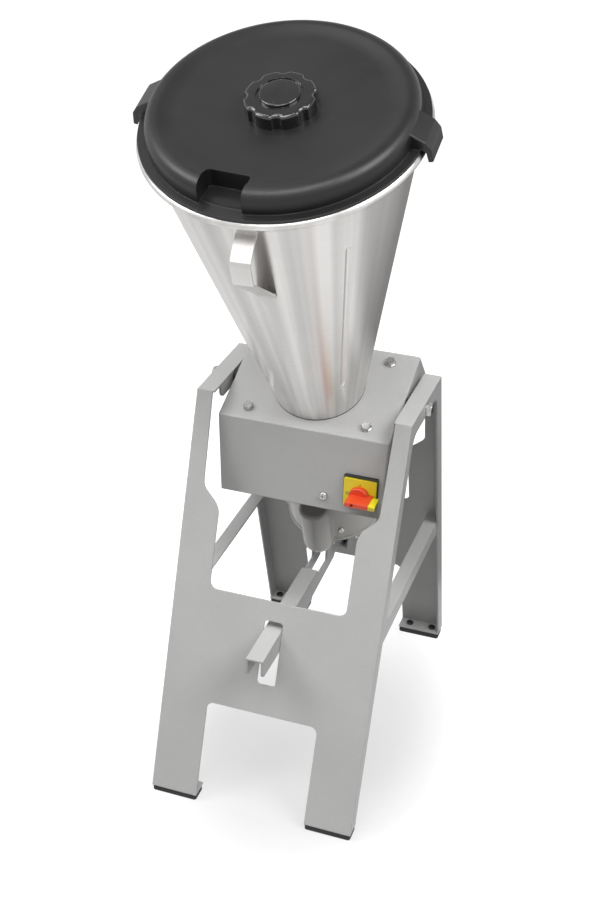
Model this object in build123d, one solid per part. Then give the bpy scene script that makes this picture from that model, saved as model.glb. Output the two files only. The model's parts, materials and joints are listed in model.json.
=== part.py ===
"""Tilting catering blender: a large open-topped steel jar on a motor box that swings in a sheet-steel A-frame.

Millimetres.  Front is -Y, right is +X, up is +Z, and the floor is Z = 0.  The frame stands still.  The
box, motor and jar are drawn upright in their own axes, with the origin on the tilt axis, and are then
turned forward by REST_TILT.
"""
import os
from math import atan2, cos, degrees, radians, sin, sqrt, tan

from build123d import *

os.makedirs("parts", exist_ok=True)

# driving sizes
SHEET = 3.0                 # frame sheet thickness
FRAME_WIDTH = 316.0
FRAME_TOP = 592.4           # top face of the rails
TOP_HALF_DEPTH = 84.1       # centre to outer face at the top corner
LEAN = 18.75                # lean of the front and rear plates, degrees
FLANGE = 24.6               # depth of the edge flanges
PAD_HEIGHT = 10.2
FOOT_DEPTH = 29.6
LEG_OPENING = 172.6         # opening between the feet
LEG_OPENING_TOP = 155.6
WINDOW_BOTTOM = 320.3       # upper opening, sill
WINDOW_WIDTH = 208.8
WINDOW_SHOULDER = 436.0     # where the opening starts to widen
ARM_START = 462.0           # where the narrow arms start
ARM_INNER_LOW = 132.0
ARM_INNER_TOP = 135.1
SLOT_WIDTH = 28.4           # pedal slot
SLOT_BOTTOM = 199.4
SLOT_TOP = 292.5
RAIL_WIDTH = 26.0
BRACE_TOP = 296.0
BRACE_DEPTH = 25.0
BRACE_WIDTH = 21.0

PIVOT_Z = 579.6
PIVOT_Y = 33.4              # puts the middle of the whole outline over the origin
PIVOT_BOLT = 10.0
REST_TILT = 23.6            # pose in which the machine is drawn, top leaning forward

BOX_SHEET = 2.0
BOX_TOP = 11.6              # above the tilt axis
BOX_BOTTOM = -97.1
BOX_SIDE_GAP = 4.3          # between the box and each top rail
BOX_NARROWING = 11.4        # how much narrower the box is at its bottom
BOX_TOP_SIZE = (FRAME_WIDTH - 2 * (RAIL_WIDTH + BOX_SIDE_GAP), 166.8)
BOX_BOTTOM_SIZE = (BOX_TOP_SIZE[0] - BOX_NARROWING, 271.4)
BOX_BOLT_X = 88.0
BOX_BOLT_Y = 62.1

MOTOR_RADIUS = 74.0
MOTOR_WALL = 4.0
MOTOR_BOTTOM = -276.0
SHIELD_TOP = -268.0
CAP_RADIUS = 23.5           # capacitor cover
CAP_Y = -87.0
CAP_TOP = -168.0
CAP_DOME = -249.5
SHAFT = 20.0

JAR_SEAT = 13.1             # underside of the jar, on its gasket
JAR_BASE_RADIUS = 66.1
JAR_TOP_RADIUS = 164.0
JAR_WALL = 2.0
RIM_PLANE = 479.0
RIM_RADIUS = 177.0
RIM_BEAD = 5.5
STRAP_WIDTH = 25.0
STRAP_SHEET = 3.0
STRAP_TURN = 2.0            # strap stands this many degrees to the right of the front

LID_FLANGE_RADIUS = 174.3
LID_DOME_RADIUS = 162.4
LID_FLANGE = 3.2
LID_HEIGHT = 30.5
LID_WALL = 3.5
LID_TURN = -4.0
LID_RIM = 18.0              # width of the raised ring round the dish
LID_SHOULDER = 13.0
HOOK_TURN = 3.5             # from the lid's own axes to the middle of its hooks
HOOK_WIDTH = 45.0
FILLER_RADIUS = 38.0
KNOB_RADIUS = 43.6
KNOB_HEIGHT = 18.0

SWITCH_X = 91.5
SWITCH_DOWN = 84.6          # switch axis, down the front face from its top edge
SWITCH_SIZE = (48.0, 42.5)  # yellow plate
SWITCH_BASE_SIZE = (50.6, 47.0)
SWITCH_RAISE = 3.5          # middle of the plate above the switch axis

LEVER_WIDTH = 25.5
LEVER_SHEET = 3.0
LEVER_TOP = 281.0
LEVER_FRONT = -268.0
LEVER_PIVOT = (168.0, 272.0)
PIN_Y = 65.0
PIN_RADIUS = 5.0
SECTOR_DROP = 20.0          # rim of the latch sector, below the motor
SECTOR_RADIUS = SECTOR_DROP - MOTOR_BOTTOM
SECTOR_SHEET = 6.0
SWEEP_RADIUS = SECTOR_RADIUS - 4.0  # the lever head stays outside this circle about the tilt axis

FIT = 0.05                  # radial play of a pin or bolt in its hole
RUN_GAP = 0.3               # gap between faces that move past each other

HALF = FRAME_WIDTH / 2
TAN = tan(radians(LEAN))
COS = cos(radians(LEAN))


# small helpers
def outer_y(z):
    """Distance from the middle plane to the outer face of a leaning plate at height z."""
    return TOP_HALF_DEPTH + (FRAME_TOP - z) * TAN


def inner_y(z, depth=SHEET):
    """The same for a face set back by depth, measured square to the plate."""
    return outer_y(z) - depth / COS


def along(z):
    """Height z as a length along the leaning plate."""
    return z / COS


def rounded(face, corners):
    """Round the corners of a symmetric flat face, given as (x, y, radius)."""
    for x, y, radius in corners:
        for side in (-1, 1):
            vertex = face.vertices().sort_by_distance((side * x, y, 0))[0]
            face = fillet(vertex, radius)
    return face


def side_profile(points, x_low, x_high):
    """Extrude a side-view outline of (y, z) points from x_low to x_high."""
    face = Plane.YZ * Polygon(*points, align=None)
    return Pos(x_low, 0, 0) * extrude(face, x_high - x_low, dir=(1, 0, 0))


def rod(radius, start, end):
    """A round bar from one point to another."""
    line = Vector(*end) - Vector(*start)
    return Plane(origin=start, z_dir=line) * Cylinder(
        radius, line.length, align=(Align.CENTER, Align.CENTER, Align.MIN))


def ring(outer, inner, z_low, z_high):
    height = z_high - z_low
    align = (Align.CENTER, Align.CENTER, Align.MIN)
    body = Cylinder(outer, height, align=align) - Cylinder(inner, height, align=align)
    return Pos(0, 0, z_low) * body


def hexagon(across, height):
    """A hexagonal prism standing on its base, with its top corners turned off."""
    body = extrude(RegularPolygon(across / 2, 6, major_radius=False), height)
    cone = Cone(across * 0.75, across * 0.47, height, align=(Align.CENTER, Align.CENTER, Align.MIN))
    return body & cone


def hex_bolt(size, head_across, head_height, length, washer=0.0):
    """Hexagon bolt, washer under the head, seat at Z = 0, shank down."""
    body = Pos(0, 0, washer) * hexagon(head_across, head_height)
    if washer:
        body += Cylinder(head_across * 0.62, washer, align=(Align.CENTER, Align.CENTER, Align.MIN))
    body += Pos(0, 0, -length) * Cylinder(
        size / 2, length + washer, align=(Align.CENTER, Align.CENTER, Align.MIN))
    return body


def pan_screw(size, head, height, length):
    """Pan-head screw with a cross recess, seat at Z = 0, shank down."""
    body = Cylinder(head / 2, height, align=(Align.CENTER, Align.CENTER, Align.MIN))
    body = fillet(body.edges().filter_by(GeomType.CIRCLE).sort_by(Axis.Z)[-1], height * 0.55)
    recess = Pos(0, 0, height) * (Box(head * 0.5, size * 0.2, height) + Box(size * 0.2, head * 0.5, height))
    shank = Cylinder(size / 2, length, align=(Align.CENTER, Align.CENTER, Align.MAX))
    return body - recess + shank


def on_frame(shape):
    """Move a piece drawn about the tilt axis line to its place in the handed-in axes."""
    return Pos(0, PIVOT_Y, 0) * shape


def on_unit(shape):
    """Place a piece of the tilting unit, drawn upright about the tilt axis."""
    return Pos(0, PIVOT_Y, PIVOT_Z) * Rot(REST_TILT, 0, 0) * shape


def plate_plane():
    """Outer face of the front plate: X to the right, Y up the lean."""
    angle = radians(LEAN)
    return Plane(origin=(0, -outer_y(0), 0), x_dir=(1, 0, 0), z_dir=(0, -cos(angle), sin(angle)))


def box_front_plane():
    """Front face of the motor box: origin at the middle of its top edge, Y up the face."""
    drop = BOX_TOP - BOX_BOTTOM
    spread = (BOX_BOTTOM_SIZE[1] - BOX_TOP_SIZE[1]) / 2
    length = sqrt(drop * drop + spread * spread)
    return Plane(origin=(0, -BOX_TOP_SIZE[1] / 2, BOX_TOP), x_dir=(1, 0, 0),
                 z_dir=(0, -drop / length, spread / length))


def solids(shapes):
    """Separate solids of one node."""
    return Compound([solid for shape in shapes for solid in shape.solids()])


# frame
def mitre_zone():
    """The space of the top rails, between the two mitre cuts."""
    inner_top = FRAME_TOP - FLANGE - 0.4
    run = TOP_HALF_DEPTH - (inner_y(inner_top, FLANGE))
    fall = FRAME_TOP - inner_top
    low = (TOP_HALF_DEPTH - 2.5 * run, FRAME_TOP - 2.5 * fall)
    high = (TOP_HALF_DEPTH + run, FRAME_TOP + fall)
    outline = [(-high[0], high[1]), (-low[0], low[1]), (low[0], low[1]), (high[0], high[1])]
    return side_profile(outline, -HALF - 5, HALF + 5)


def side_band():
    """Side view of the edge flanges: an A-frame band with arched inner top corners."""
    z_low = PAD_HEIGHT
    outer = Polygon((-outer_y(z_low), z_low), (-TOP_HALF_DEPTH, FRAME_TOP),
                    (TOP_HALF_DEPTH, FRAME_TOP), (outer_y(z_low), z_low), align=None)
    top = FRAME_TOP - FLANGE - 0.4
    inner = Polygon((-inner_y(-50, FLANGE), -50), (-inner_y(top, FLANGE), top),
                    (inner_y(top, FLANGE), top), (inner_y(-50, FLANGE), -50), align=None)
    inner = rounded(inner, [(inner_y(top, FLANGE), top, 25.0)])
    return Plane.YZ * (outer - inner)


def plate_outline():
    top = along(FRAME_TOP)
    outline = Pos(0, top / 2) * Rectangle(FRAME_WIDTH, top)
    half = LEG_OPENING / 2
    legs = Polygon((-half, -20), (-half, along(LEG_OPENING_TOP)), (half, along(LEG_OPENING_TOP)),
                   (half, -20), align=None)
    legs = rounded(legs, [(half, along(LEG_OPENING_TOP), 11.0)])
    half = WINDOW_WIDTH / 2
    sill, shoulder, arm = along(WINDOW_BOTTOM), along(WINDOW_SHOULDER), along(ARM_START)
    right = [(half, sill), (half, shoulder), (ARM_INNER_LOW, arm), (ARM_INNER_TOP, top + 20)]
    left = [(-x, y) for x, y in reversed(right)]
    window = Polygon(*(right + left), align=None)
    window = rounded(window, [(half, sill, 12.0), (half, shoulder, 30.0), (ARM_INNER_LOW, arm, 20.0)])
    return outline - legs - window


def frame_plate(with_slot):
    """One leaning plate with its edge flanges and inward-bent feet; drawn as the front one."""
    face = plate_outline()
    if with_slot:
        middle = (along(SLOT_TOP) + along(SLOT_BOTTOM)) / 2
        face -= Pos(0, middle) * RectangleRounded(SLOT_WIDTH, along(SLOT_TOP - SLOT_BOTTOM), 5.0)
    body = plate_plane() * extrude(face, -SHEET)
    body += extrude(side_band(), SHEET, dir=(1, 0, 0)).moved(Location((HALF - SHEET, 0, 0)))
    body += extrude(side_band(), SHEET, dir=(1, 0, 0)).moved(Location((-HALF, 0, 0)))
    body &= Pos(0, -200, 400) * Box(FRAME_WIDTH + 20, 400, 900)
    z_low, z_high = PAD_HEIGHT, PAD_HEIGHT + SHEET
    foot = [(-outer_y(z_low), z_low), (FOOT_DEPTH - outer_y(z_low), z_low),
            (FOOT_DEPTH - outer_y(z_low), z_high), (-outer_y(z_high), z_high)]
    for side in (-1, 1):
        x_low, x_high = sorted((side * LEG_OPENING / 2, side * HALF))
        body += side_profile(foot, x_low, x_high)
    body -= Pos(0, 0, PAD_HEIGHT - 50) * Box(700, 1400, 100)
    body -= mitre_zone()
    for x, y in foot_screw_places():
        body -= Pos(x, -y, PAD_HEIGHT) * Cylinder(FOOT_SCREW / 2 + 0.3, 20)
    return body


FOOT_SCREW = 6.0
FOOT_SCREW_X = (HALF - 55.0, HALF - 15.0)
FOOT_SCREW_Y = 265.0


def foot_screw_places():
    """Where the screws of the two front feet sit, as (x, distance in front of the tilt axis)."""
    return [(side * x, FOOT_SCREW_Y) for side in (-1, 1) for x in FOOT_SCREW_X]


BRACKET_BOLT_X = 9.0
BRACKET_BOLT_Z = (214.0, 301.0)
BRACKET_BOLT = 6.0


def inner_face_plane(z):
    """Inner face of the rear plate at height z, looking forward."""
    angle = radians(LEAN)
    return Plane(origin=(0, inner_y(z), z), x_dir=(-1, 0, 0), z_dir=(0, -cos(angle), -sin(angle)))


def bracket_bolt_holes():
    holes = None
    for z in BRACKET_BOLT_Z:
        for x in (-BRACKET_BOLT_X, BRACKET_BOLT_X):
            hole = inner_face_plane(z) * Pos(x, 0, 0) * Cylinder(BRACKET_BOLT / 2 + 0.3, 40)
            holes = hole if holes is None else holes + hole
    return holes


def front_frame_plate():
    return frame_plate(True)


def rear_frame_plate():
    return Rot(0, 0, 180) * frame_plate(False) - bracket_bolt_holes()


def right_top_rail():
    """Upside-down channel joining the tops of the two plates; carries the pivot."""
    strip = Pos(HALF - RAIL_WIDTH / 2, 0, FRAME_TOP - SHEET / 2) * Box(RAIL_WIDTH, 220, SHEET)
    outer = extrude(side_band(), SHEET, dir=(1, 0, 0)).moved(Location((HALF - SHEET, 0, 0)))
    low = FRAME_TOP - FLANGE + 1.0
    inner = Polygon((-58, FRAME_TOP), (-58, low), (58, low), (58, FRAME_TOP), align=None)
    inner = rounded(inner, [(58, low, 12.0)])
    inner = Pos(HALF - RAIL_WIDTH, 0, 0) * extrude(Plane.YZ * inner, SHEET, dir=(1, 0, 0))
    body = (strip + outer) & mitre_zone()
    body += inner
    body -= rod(PIVOT_BOLT / 2 + FIT, (0, 0, PIVOT_Z), (2 * HALF, 0, PIVOT_Z))
    return body


def left_top_rail():
    return Rot(0, 0, 180) * right_top_rail()


def right_side_brace():
    """Angle bar between the plates, lapped inside their edge flanges."""
    z_top, z_low = BRACE_TOP, BRACE_TOP - BRACE_DEPTH
    x_out = HALF - SHEET
    leg = [(-inner_y(z_low), z_low), (-inner_y(z_top), z_top), (inner_y(z_top), z_top), (inner_y(z_low), z_low)]
    z_under = z_top - SHEET
    shelf = [(-inner_y(z_under), z_under), (-inner_y(z_top), z_top), (inner_y(z_top), z_top),
             (inner_y(z_under), z_under)]
    return side_profile(leg, x_out - SHEET, x_out) + side_profile(shelf, x_out - BRACE_WIDTH, x_out)


def left_side_brace():
    return Rot(0, 0, 180) * right_side_brace()


def foot_pads():
    """Four rubber pads, each under one foot."""
    pads = {}
    middle_x = (LEG_OPENING / 2 + HALF) / 2
    middle_y = outer_y(PAD_HEIGHT) - FOOT_DEPTH / 2
    for name, sx, sy in (("front_left", -1, -1), ("front_right", 1, -1), ("rear_left", -1, 1),
                         ("rear_right", 1, 1)):
        pad = Box(HALF - LEG_OPENING / 2 - 1, FOOT_DEPTH - 1, PAD_HEIGHT,
                  align=(Align.CENTER, Align.CENTER, Align.MIN))
        pad = fillet(pad.edges().filter_by(Axis.Z), 4.0)
        pad = chamfer(pad.faces().sort_by(Axis.Z)[0].edges(), 1.2)
        pad = Pos(sx * middle_x, sy * middle_y, 0) * pad
        for x in FOOT_SCREW_X:
            pad -= Pos(sx * x, sy * FOOT_SCREW_Y, PAD_HEIGHT) * Cylinder(FOOT_SCREW / 2, 2 * 8.0)
        pads["foot_pad_" + name] = pad
    return pads


def foot_screws():
    """Eight screws, two through each foot into its pad."""
    screw = pan_screw(FOOT_SCREW - 2 * FIT, 12.0, 4.0, SHEET + 7.5)
    places = [(x, y) for x, y in foot_screw_places()] + [(x, -y) for x, y in foot_screw_places()]
    return solids([Pos(x, -y, PAD_HEIGHT + SHEET) * screw for x, y in places])


# pivots
WASHER = 2.0
PIVOT_BOLT_END = BOX_TOP_SIZE[0] / 2 - 24.5     # tip of each pivot bolt, clear of the motor flange
BUSH_RADIUS = 8.0
BUSH_FLANGE = 11.0
BOSS_RADIUS = 15.0
BOSS_INNER_X = BOX_TOP_SIZE[0] / 2 - 13.7
BUSH_OUTER_X = HALF - RAIL_WIDTH - RUN_GAP


def both_sides(make):
    """A right-hand piece and the same piece turned round to the left."""
    right = make()
    return solids([right, Rot(0, 0, 180) * right])


def pivot_bolts():
    """Hexagon bolts on the tilt axis, fixed to the rails."""
    def one():
        bolt = hex_bolt(PIVOT_BOLT - 2 * FIT, 17.0, 6.4, HALF - PIVOT_BOLT_END, WASHER)
        return Plane(origin=(HALF, 0, PIVOT_Z), x_dir=(0, 1, 0), z_dir=(1, 0, 0)) * bolt
    return both_sides(one)


def pivot_spacers():
    """Tubes that keep the two flanges of a rail apart round the bolt."""
    def one():
        tube = ring(8.0, PIVOT_BOLT / 2, 0, RAIL_WIDTH - 2 * SHEET)
        return Plane(origin=(HALF - RAIL_WIDTH + SHEET, 0, PIVOT_Z), z_dir=(1, 0, 0)) * tube
    return both_sides(one)


def pivot_nuts():
    """Locknuts inside the motor box, a little clear of the bushes."""
    def one():
        nut = hexagon(16.0, 8.0) - Cylinder(PIVOT_BOLT / 2 - FIT, 40)
        nut += ring(9.2, PIVOT_BOLT / 2 - FIT, -1.6, 0)
        return Plane(origin=(BOSS_INNER_X - RUN_GAP - 1.6, 0, PIVOT_Z), x_dir=(0, 1, 0), z_dir=(-1, 0, 0)) * nut
    return both_sides(one)


# motor box
def frustum(z_top, top, z_low, low, radius):
    """Tapered block between two rectangles given as full sizes."""
    faces = [Pos(0, 0, z_low) * Rectangle(*low), Pos(0, 0, z_top) * Rectangle(*top)]
    body = loft(faces)
    edges = body.edges().filter_by(lambda e: abs(e.center().Z - z_low) > 1.0)
    return fillet(edges, radius)


def box_cavity():
    """The hollow inside the box sheet."""
    drop = BOX_TOP - BOX_BOTTOM
    slant = [(BOX_BOTTOM_SIZE[i] - BOX_TOP_SIZE[i]) / 2 / drop for i in (0, 1)]
    wall = [BOX_SHEET * sqrt(1 + s * s) for s in slant]
    z_top = BOX_TOP - BOX_SHEET
    top = [BOX_TOP_SIZE[i] + 2 * slant[i] * BOX_SHEET - 2 * wall[i] for i in (0, 1)]
    z_low = BOX_BOTTOM - 10
    low = [BOX_BOTTOM_SIZE[i] + 2 * slant[i] * 10 - 2 * wall[i] for i in (0, 1)]
    return frustum(z_top, top, z_low, low, 1.2)


def motor_box():
    """Folded sheet-steel cover, open underneath, that carries the motor and the jar."""
    body = frustum(BOX_TOP, BOX_TOP_SIZE, BOX_BOTTOM, BOX_BOTTOM_SIZE, 3.0) - box_cavity()
    body -= Pos(0, 0, BOX_TOP) * Cylinder(30.0, 20)
    for x in (-BOX_BOLT_X, BOX_BOLT_X):
        for y in (-BOX_BOLT_Y, BOX_BOLT_Y):
            body -= Pos(x, y, BOX_TOP) * Cylinder(4.3, 20)
    for angle in JAR_SCREW_ANGLES:
        body -= Rot(0, 0, angle) * Pos(JAR_SCREW_RADIUS, 0, BOX_TOP) * Cylinder(3.3, 20)
    body -= rod(BUSH_RADIUS, (-200, 0, 0), (200, 0, 0))
    body -= box_front_plane() * Pos(SWITCH_X, -SWITCH_DOWN, 0) * Cylinder(15.0, 20)
    body -= box_front_plane() * Pos(PANEL_SCREW[0], -PANEL_SCREW[1], 0) * Cylinder(3.2, 20)
    body -= box_rear_plane() * Pos(GLAND_X, -GLAND_DOWN, 0) * Cylinder(10.2, 20)
    return body


JAR_SCREW_ANGLES = (0.0, 90.0, 180.0, 270.0)
JAR_SCREW_RADIUS = 46.0
PANEL_SCREW = (36.4, 99.6)
GLAND_X = 70.0
GLAND_DOWN = 80.0


def box_rear_plane():
    front = box_front_plane()
    return Plane(origin=(0, -front.origin.Y, front.origin.Z), x_dir=(-1, 0, 0),
                 z_dir=(0, -front.z_dir.Y, front.z_dir.Z))


def trunnion_bosses():
    """Discs welded inside the box walls round the pivots."""
    def one():
        return rod(BOSS_RADIUS, (BOSS_INNER_X, 0, 0), (HALF, 0, 0)) & box_cavity()
    pair = []
    for turn in (0, 180):
        pair.append(Rot(0, 0, turn) * one() - rod(BUSH_RADIUS, (-200, 0, 0), (200, 0, 0)))
    return solids(pair)


def pivot_bushes():
    """Flanged plastic bushes pressed into the bosses."""
    def one():
        flange_start = BOX_TOP_SIZE[0] / 2 + 0.05
        bush = rod(BUSH_RADIUS - 0.01, (BOSS_INNER_X, 0, 0), (BUSH_OUTER_X, 0, 0))
        bush += rod(BUSH_FLANGE, (flange_start, 0, 0), (BUSH_OUTER_X, 0, 0))
        return bush - rod(PIVOT_BOLT / 2, (0, 0, 0), (HALF, 0, 0))
    return both_sides(one)


def box_top_bolts():
    bolt = hex_bolt(8.0, 13.0, 5.3, 12.5, 1.6)
    return solids([Pos(x, y, BOX_TOP) * Rot(0, 0, 11 * x * y % 60) * bolt
                   for x in (-BOX_BOLT_X, BOX_BOLT_X) for y in (-BOX_BOLT_Y, BOX_BOLT_Y)])


def panel_screw():
    screw = pan_screw(6.0, 12.5, 4.4, 12.0)
    return box_front_plane() * Pos(PANEL_SCREW[0], -PANEL_SCREW[1], 0) * screw


def cable_gland():
    """Empty cable gland in the rear wall."""
    body = hexagon(24.0, 6.0)
    body += Pos(0, 0, 6.0) * Cone(10.5, 8.0, 14.0, align=(Align.CENTER, Align.CENTER, Align.MIN))
    body += Pos(0, 0, -10.0) * Cylinder(10.0, 10.0, align=(Align.CENTER, Align.CENTER, Align.MIN))
    body += Pos(0, 0, -BOX_SHEET - 4.0) * extrude(RegularPolygon(13.0, 6, major_radius=False), 4.0)
    body -= Cylinder(4.5, 60)
    return box_rear_plane() * Pos(GLAND_X, -GLAND_DOWN, 0) * body


# motor
FLANGE_TOP = BOX_TOP - BOX_SHEET
FLANGE_SHEET = 8.0
BEARING_RADIUS = 23.5
BEARING_WIDTH = 14.0
UPPER_BEARING = -10.0
LOWER_BEARING = -262.0
CORE_LOW, CORE_HIGH = -185.0, -85.0


def motor_upper_flange():
    """Cast end shield bolted up under the top of the box."""
    plate = extrude(RectangleRounded(2 * BOX_BOLT_X + 28, 2 * BOX_BOLT_Y + 24, 14), FLANGE_SHEET)
    body = Pos(0, 0, FLANGE_TOP - FLANGE_SHEET) * plate
    spigot = MOTOR_RADIUS - MOTOR_WALL - FIT
    body += ring(spigot, spigot - 6.0, UPPER_BEARING - 4, FLANGE_TOP - FLANGE_SHEET)
    body += ring(BEARING_RADIUS + 6.0, BEARING_RADIUS, UPPER_BEARING, FLANGE_TOP - FLANGE_SHEET)
    body -= Pos(0, 0, UPPER_BEARING) * Cylinder(
        BEARING_RADIUS, BEARING_WIDTH, align=(Align.CENTER, Align.CENTER, Align.MIN))
    body -= Cylinder(SHAFT / 2 + 1.0, 60)
    for x in (-BOX_BOLT_X, BOX_BOLT_X):
        for y in (-BOX_BOLT_Y, BOX_BOLT_Y):
            body -= Pos(x, y, 0) * Cylinder(4.0, 60)
    for angle in JAR_SCREW_ANGLES:
        body -= Rot(0, 0, angle) * Pos(JAR_SCREW_RADIUS, 0, 0) * Cylinder(3.0, 60)
    return body


def motor_housing():
    """Round steel motor case, seen under the box."""
    body = ring(MOTOR_RADIUS, MOTOR_RADIUS - MOTOR_WALL, SHIELD_TOP, FLANGE_TOP - FLANGE_SHEET)
    for x in (-8.0, 8.0):
        body -= rod(2.0, (x, -60, CAP_TOP + 16), (x, -90, CAP_TOP + 16))
    for angle in SHIELD_SCREW_ANGLES:
        body -= Rot(0, 0, angle) * rod(2.5 + FIT, (60, 0, SHIELD_SCREW_Z), (90, 0, SHIELD_SCREW_Z))
    drain = rod(1.3, (60, 0, DRAIN_HOLE[1]), (90, 0, DRAIN_HOLE[1]))
    return body - Rot(0, 0, DRAIN_HOLE[0]) * drain


def stator_core():
    """Laminated stator: a ring with slots opening to the bore."""
    face = Circle(MOTOR_RADIUS - MOTOR_WALL) - Circle(42.0)
    for index in range(12):
        face -= Rot(0, 0, 30 * index) * Pos(50, 0) * RectangleRounded(14, 9, 3)
        face -= Rot(0, 0, 30 * index) * Pos(43, 0) * Rectangle(6, 3)
    return Pos(0, 0, CORE_LOW) * extrude(face, CORE_HIGH - CORE_LOW)


def stator_windings():
    """Copper end windings above and below the stator."""
    coil = fillet(ring(64.0, 46.0, 0, 20).edges(), 5.0)
    return solids([Pos(0, 0, CORE_HIGH) * coil, Pos(0, 0, CORE_LOW - 20) * coil])


def motor_lower_shield():
    """Cup that closes the bottom of the motor and holds the lower bearing."""
    lip = 2.2
    outline = [(0, MOTOR_BOTTOM), (MOTOR_RADIUS, MOTOR_BOTTOM), (MOTOR_RADIUS, SHIELD_TOP - 3),
               (MOTOR_RADIUS + lip, SHIELD_TOP - 3), (MOTOR_RADIUS + lip, SHIELD_TOP), (0, SHIELD_TOP)]
    face = Polygon(*outline, align=None)
    corner = face.vertices().sort_by_distance((MOTOR_RADIUS, MOTOR_BOTTOM, 0))[0]
    face = fillet(corner, 4.5)
    face -= Polygon((0, MOTOR_BOTTOM + 4), (MOTOR_RADIUS - 12, MOTOR_BOTTOM + 4),
                    (MOTOR_RADIUS - 12, SHIELD_TOP + 5), (0, SHIELD_TOP + 5), align=None)
    body = revolve(Plane.XZ * face, Axis.Z)
    spigot = MOTOR_RADIUS - MOTOR_WALL - FIT
    body += ring(spigot, spigot - 6.0, SHIELD_TOP - 1, SHIELD_SCREW_Z + 8.0)
    body += ring(BEARING_RADIUS + 6.0, BEARING_RADIUS, MOTOR_BOTTOM + 3, LOWER_BEARING + BEARING_WIDTH)
    body += ring(BEARING_RADIUS, BEARING_RADIUS - 3.5, MOTOR_BOTTOM + 3, LOWER_BEARING)
    for x, y in SECTOR_BOLTS:
        body -= Pos(x, y, MOTOR_BOTTOM) * Cylinder(3.0, 40)
    for angle in SHIELD_SCREW_ANGLES:
        body -= Rot(0, 0, angle) * rod(2.5 + FIT, (60, 0, SHIELD_SCREW_Z), (90, 0, SHIELD_SCREW_Z))
    return body


SHIELD_SCREW_Z = -246.0
SHIELD_SCREW_ANGLES = (-65.0, 25.0, 115.0, 205.0)
DRAIN_HOLE = (-118.0, -250.8)
SECTOR_BOLTS = ((-15.0, -50.0), (15.0, -50.0), (-15.0, 50.0), (15.0, 50.0))


def shield_screws():
    """Pan screws round the bottom cup of the motor."""
    screw = Rot(0, 90, 0) * pan_screw(5.0, 10.0, 3.4, MOTOR_WALL + 4.0)
    return solids([Rot(0, 0, angle) * Pos(MOTOR_RADIUS, 0, SHIELD_SCREW_Z) * screw
                   for angle in SHIELD_SCREW_ANGLES])


def motor_bearings():
    def one(z):
        body = ring(BEARING_RADIUS, SHAFT / 2, z, z + BEARING_WIDTH)
        groove = ring(20.0, 14.0, z, z + 1.5) + ring(20.0, 14.0, z + BEARING_WIDTH - 1.5, z + BEARING_WIDTH)
        return body - groove
    return solids([one(UPPER_BEARING), one(LOWER_BEARING)])


def capacitor_outline(radius):
    """U-shaped section of the capacitor cover, closed against the motor."""
    return Pos(0, CAP_Y) * Circle(radius) + Pos(0, CAP_Y + 15) * Rectangle(2 * radius, 30)


def capacitor_cover():
    """Pressed cover with a domed lower end, on the front of the motor."""
    wall = 1.4
    align = (Align.CENTER, Align.CENTER, Align.MIN)
    outer = Pos(0, 0, CAP_DOME) * extrude(capacitor_outline(CAP_RADIUS), CAP_TOP - CAP_DOME)
    outer = fillet(outer.faces().sort_by(Axis.Z)[-1].edges().filter_by(lambda e: e.center().Y < CAP_Y + 20), 7.0)
    outer += Pos(0, CAP_Y, CAP_DOME) * Sphere(CAP_RADIUS)
    outer += Pos(0, CAP_Y + 15, CAP_DOME) * (Rot(90, 0, 0) * Cylinder(CAP_RADIUS, 30))
    inner = CAP_RADIUS - wall
    hollow = Pos(0, 0, CAP_DOME) * extrude(capacitor_outline(inner), CAP_TOP - CAP_DOME - 5.0)
    hollow += Pos(0, CAP_Y, CAP_DOME) * Sphere(inner)
    hollow += Pos(0, CAP_Y + 15, CAP_DOME) * (Rot(90, 0, 0) * Cylinder(inner, 30))
    body = outer - hollow
    body -= Pos(0, 0, -400) * Cylinder(MOTOR_RADIUS, 400, align=align)
    body -= Pos(0, 0, SHIELD_TOP - 3 - FIT) * Cylinder(MOTOR_RADIUS + 2.2 + FIT, 3 + 2 * FIT, align=align)
    return body


def capacitor():
    """Motor capacitor standing inside its cover."""
    radius = 15.0
    body = fillet(Cylinder(radius, 50.0).edges(), 1.5)
    return Pos(0, -MOTOR_RADIUS - radius, CAP_TOP - 35.0) * body


def latch_sector():
    """Curved plate bolted under the motor; the latch pin rides its rim and drops in its notch."""
    foot_low = MOTOR_BOTTOM - 4.0
    foot = Pos(0, 2.0, MOTOR_BOTTOM) * Box(46, 128, 4.0, align=(Align.CENTER, Align.CENTER, Align.MAX))
    web = Circle(SECTOR_RADIUS) & Polygon(*sector_outline(foot_low), align=None)
    web = Plane.YZ * web
    web = Pos(-SECTOR_SHEET / 2, 0, 0) * extrude(web, SECTOR_SHEET, dir=(1, 0, 0))
    angle = degrees(atan2(PIN_Y, PIVOT_Z - pin_height()))
    notch = Rot(angle, 0, 0) * Pos(0, 0, -SECTOR_RADIUS) * Box(20, 2 * PIN_RADIUS + 0.8, 11.0)
    body = foot + web - notch
    for x, y in SECTOR_BOLTS:
        body -= Pos(x, y, MOTOR_BOTTOM) * Cylinder(3.3, 20)
    return body


def sector_outline(z_top):
    """Wedge of the sector plate in side view, wider than the rim circle."""
    front, rear = radians(-14.0), radians(17.0)
    far = 330.0
    points = [(SECTOR_RADIUS * sin(front), z_top), (SECTOR_RADIUS * sin(rear), z_top)]
    points += [(SECTOR_RADIUS * sin(rear), -far), (SECTOR_RADIUS * sin(front), -far)]
    return points


def sector_bolts():
    bolt = Rot(180, 0, 0) * hex_bolt(6.0 - 2 * FIT, 10.0, 4.0, 12.0)
    return solids([Pos(x, y, MOTOR_BOTTOM - 4.0) * bolt for x, y in SECTOR_BOLTS])


# rotor and blades
BLADE_LOW = 34.0
BLADE_HIGH = 52.0


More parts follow.
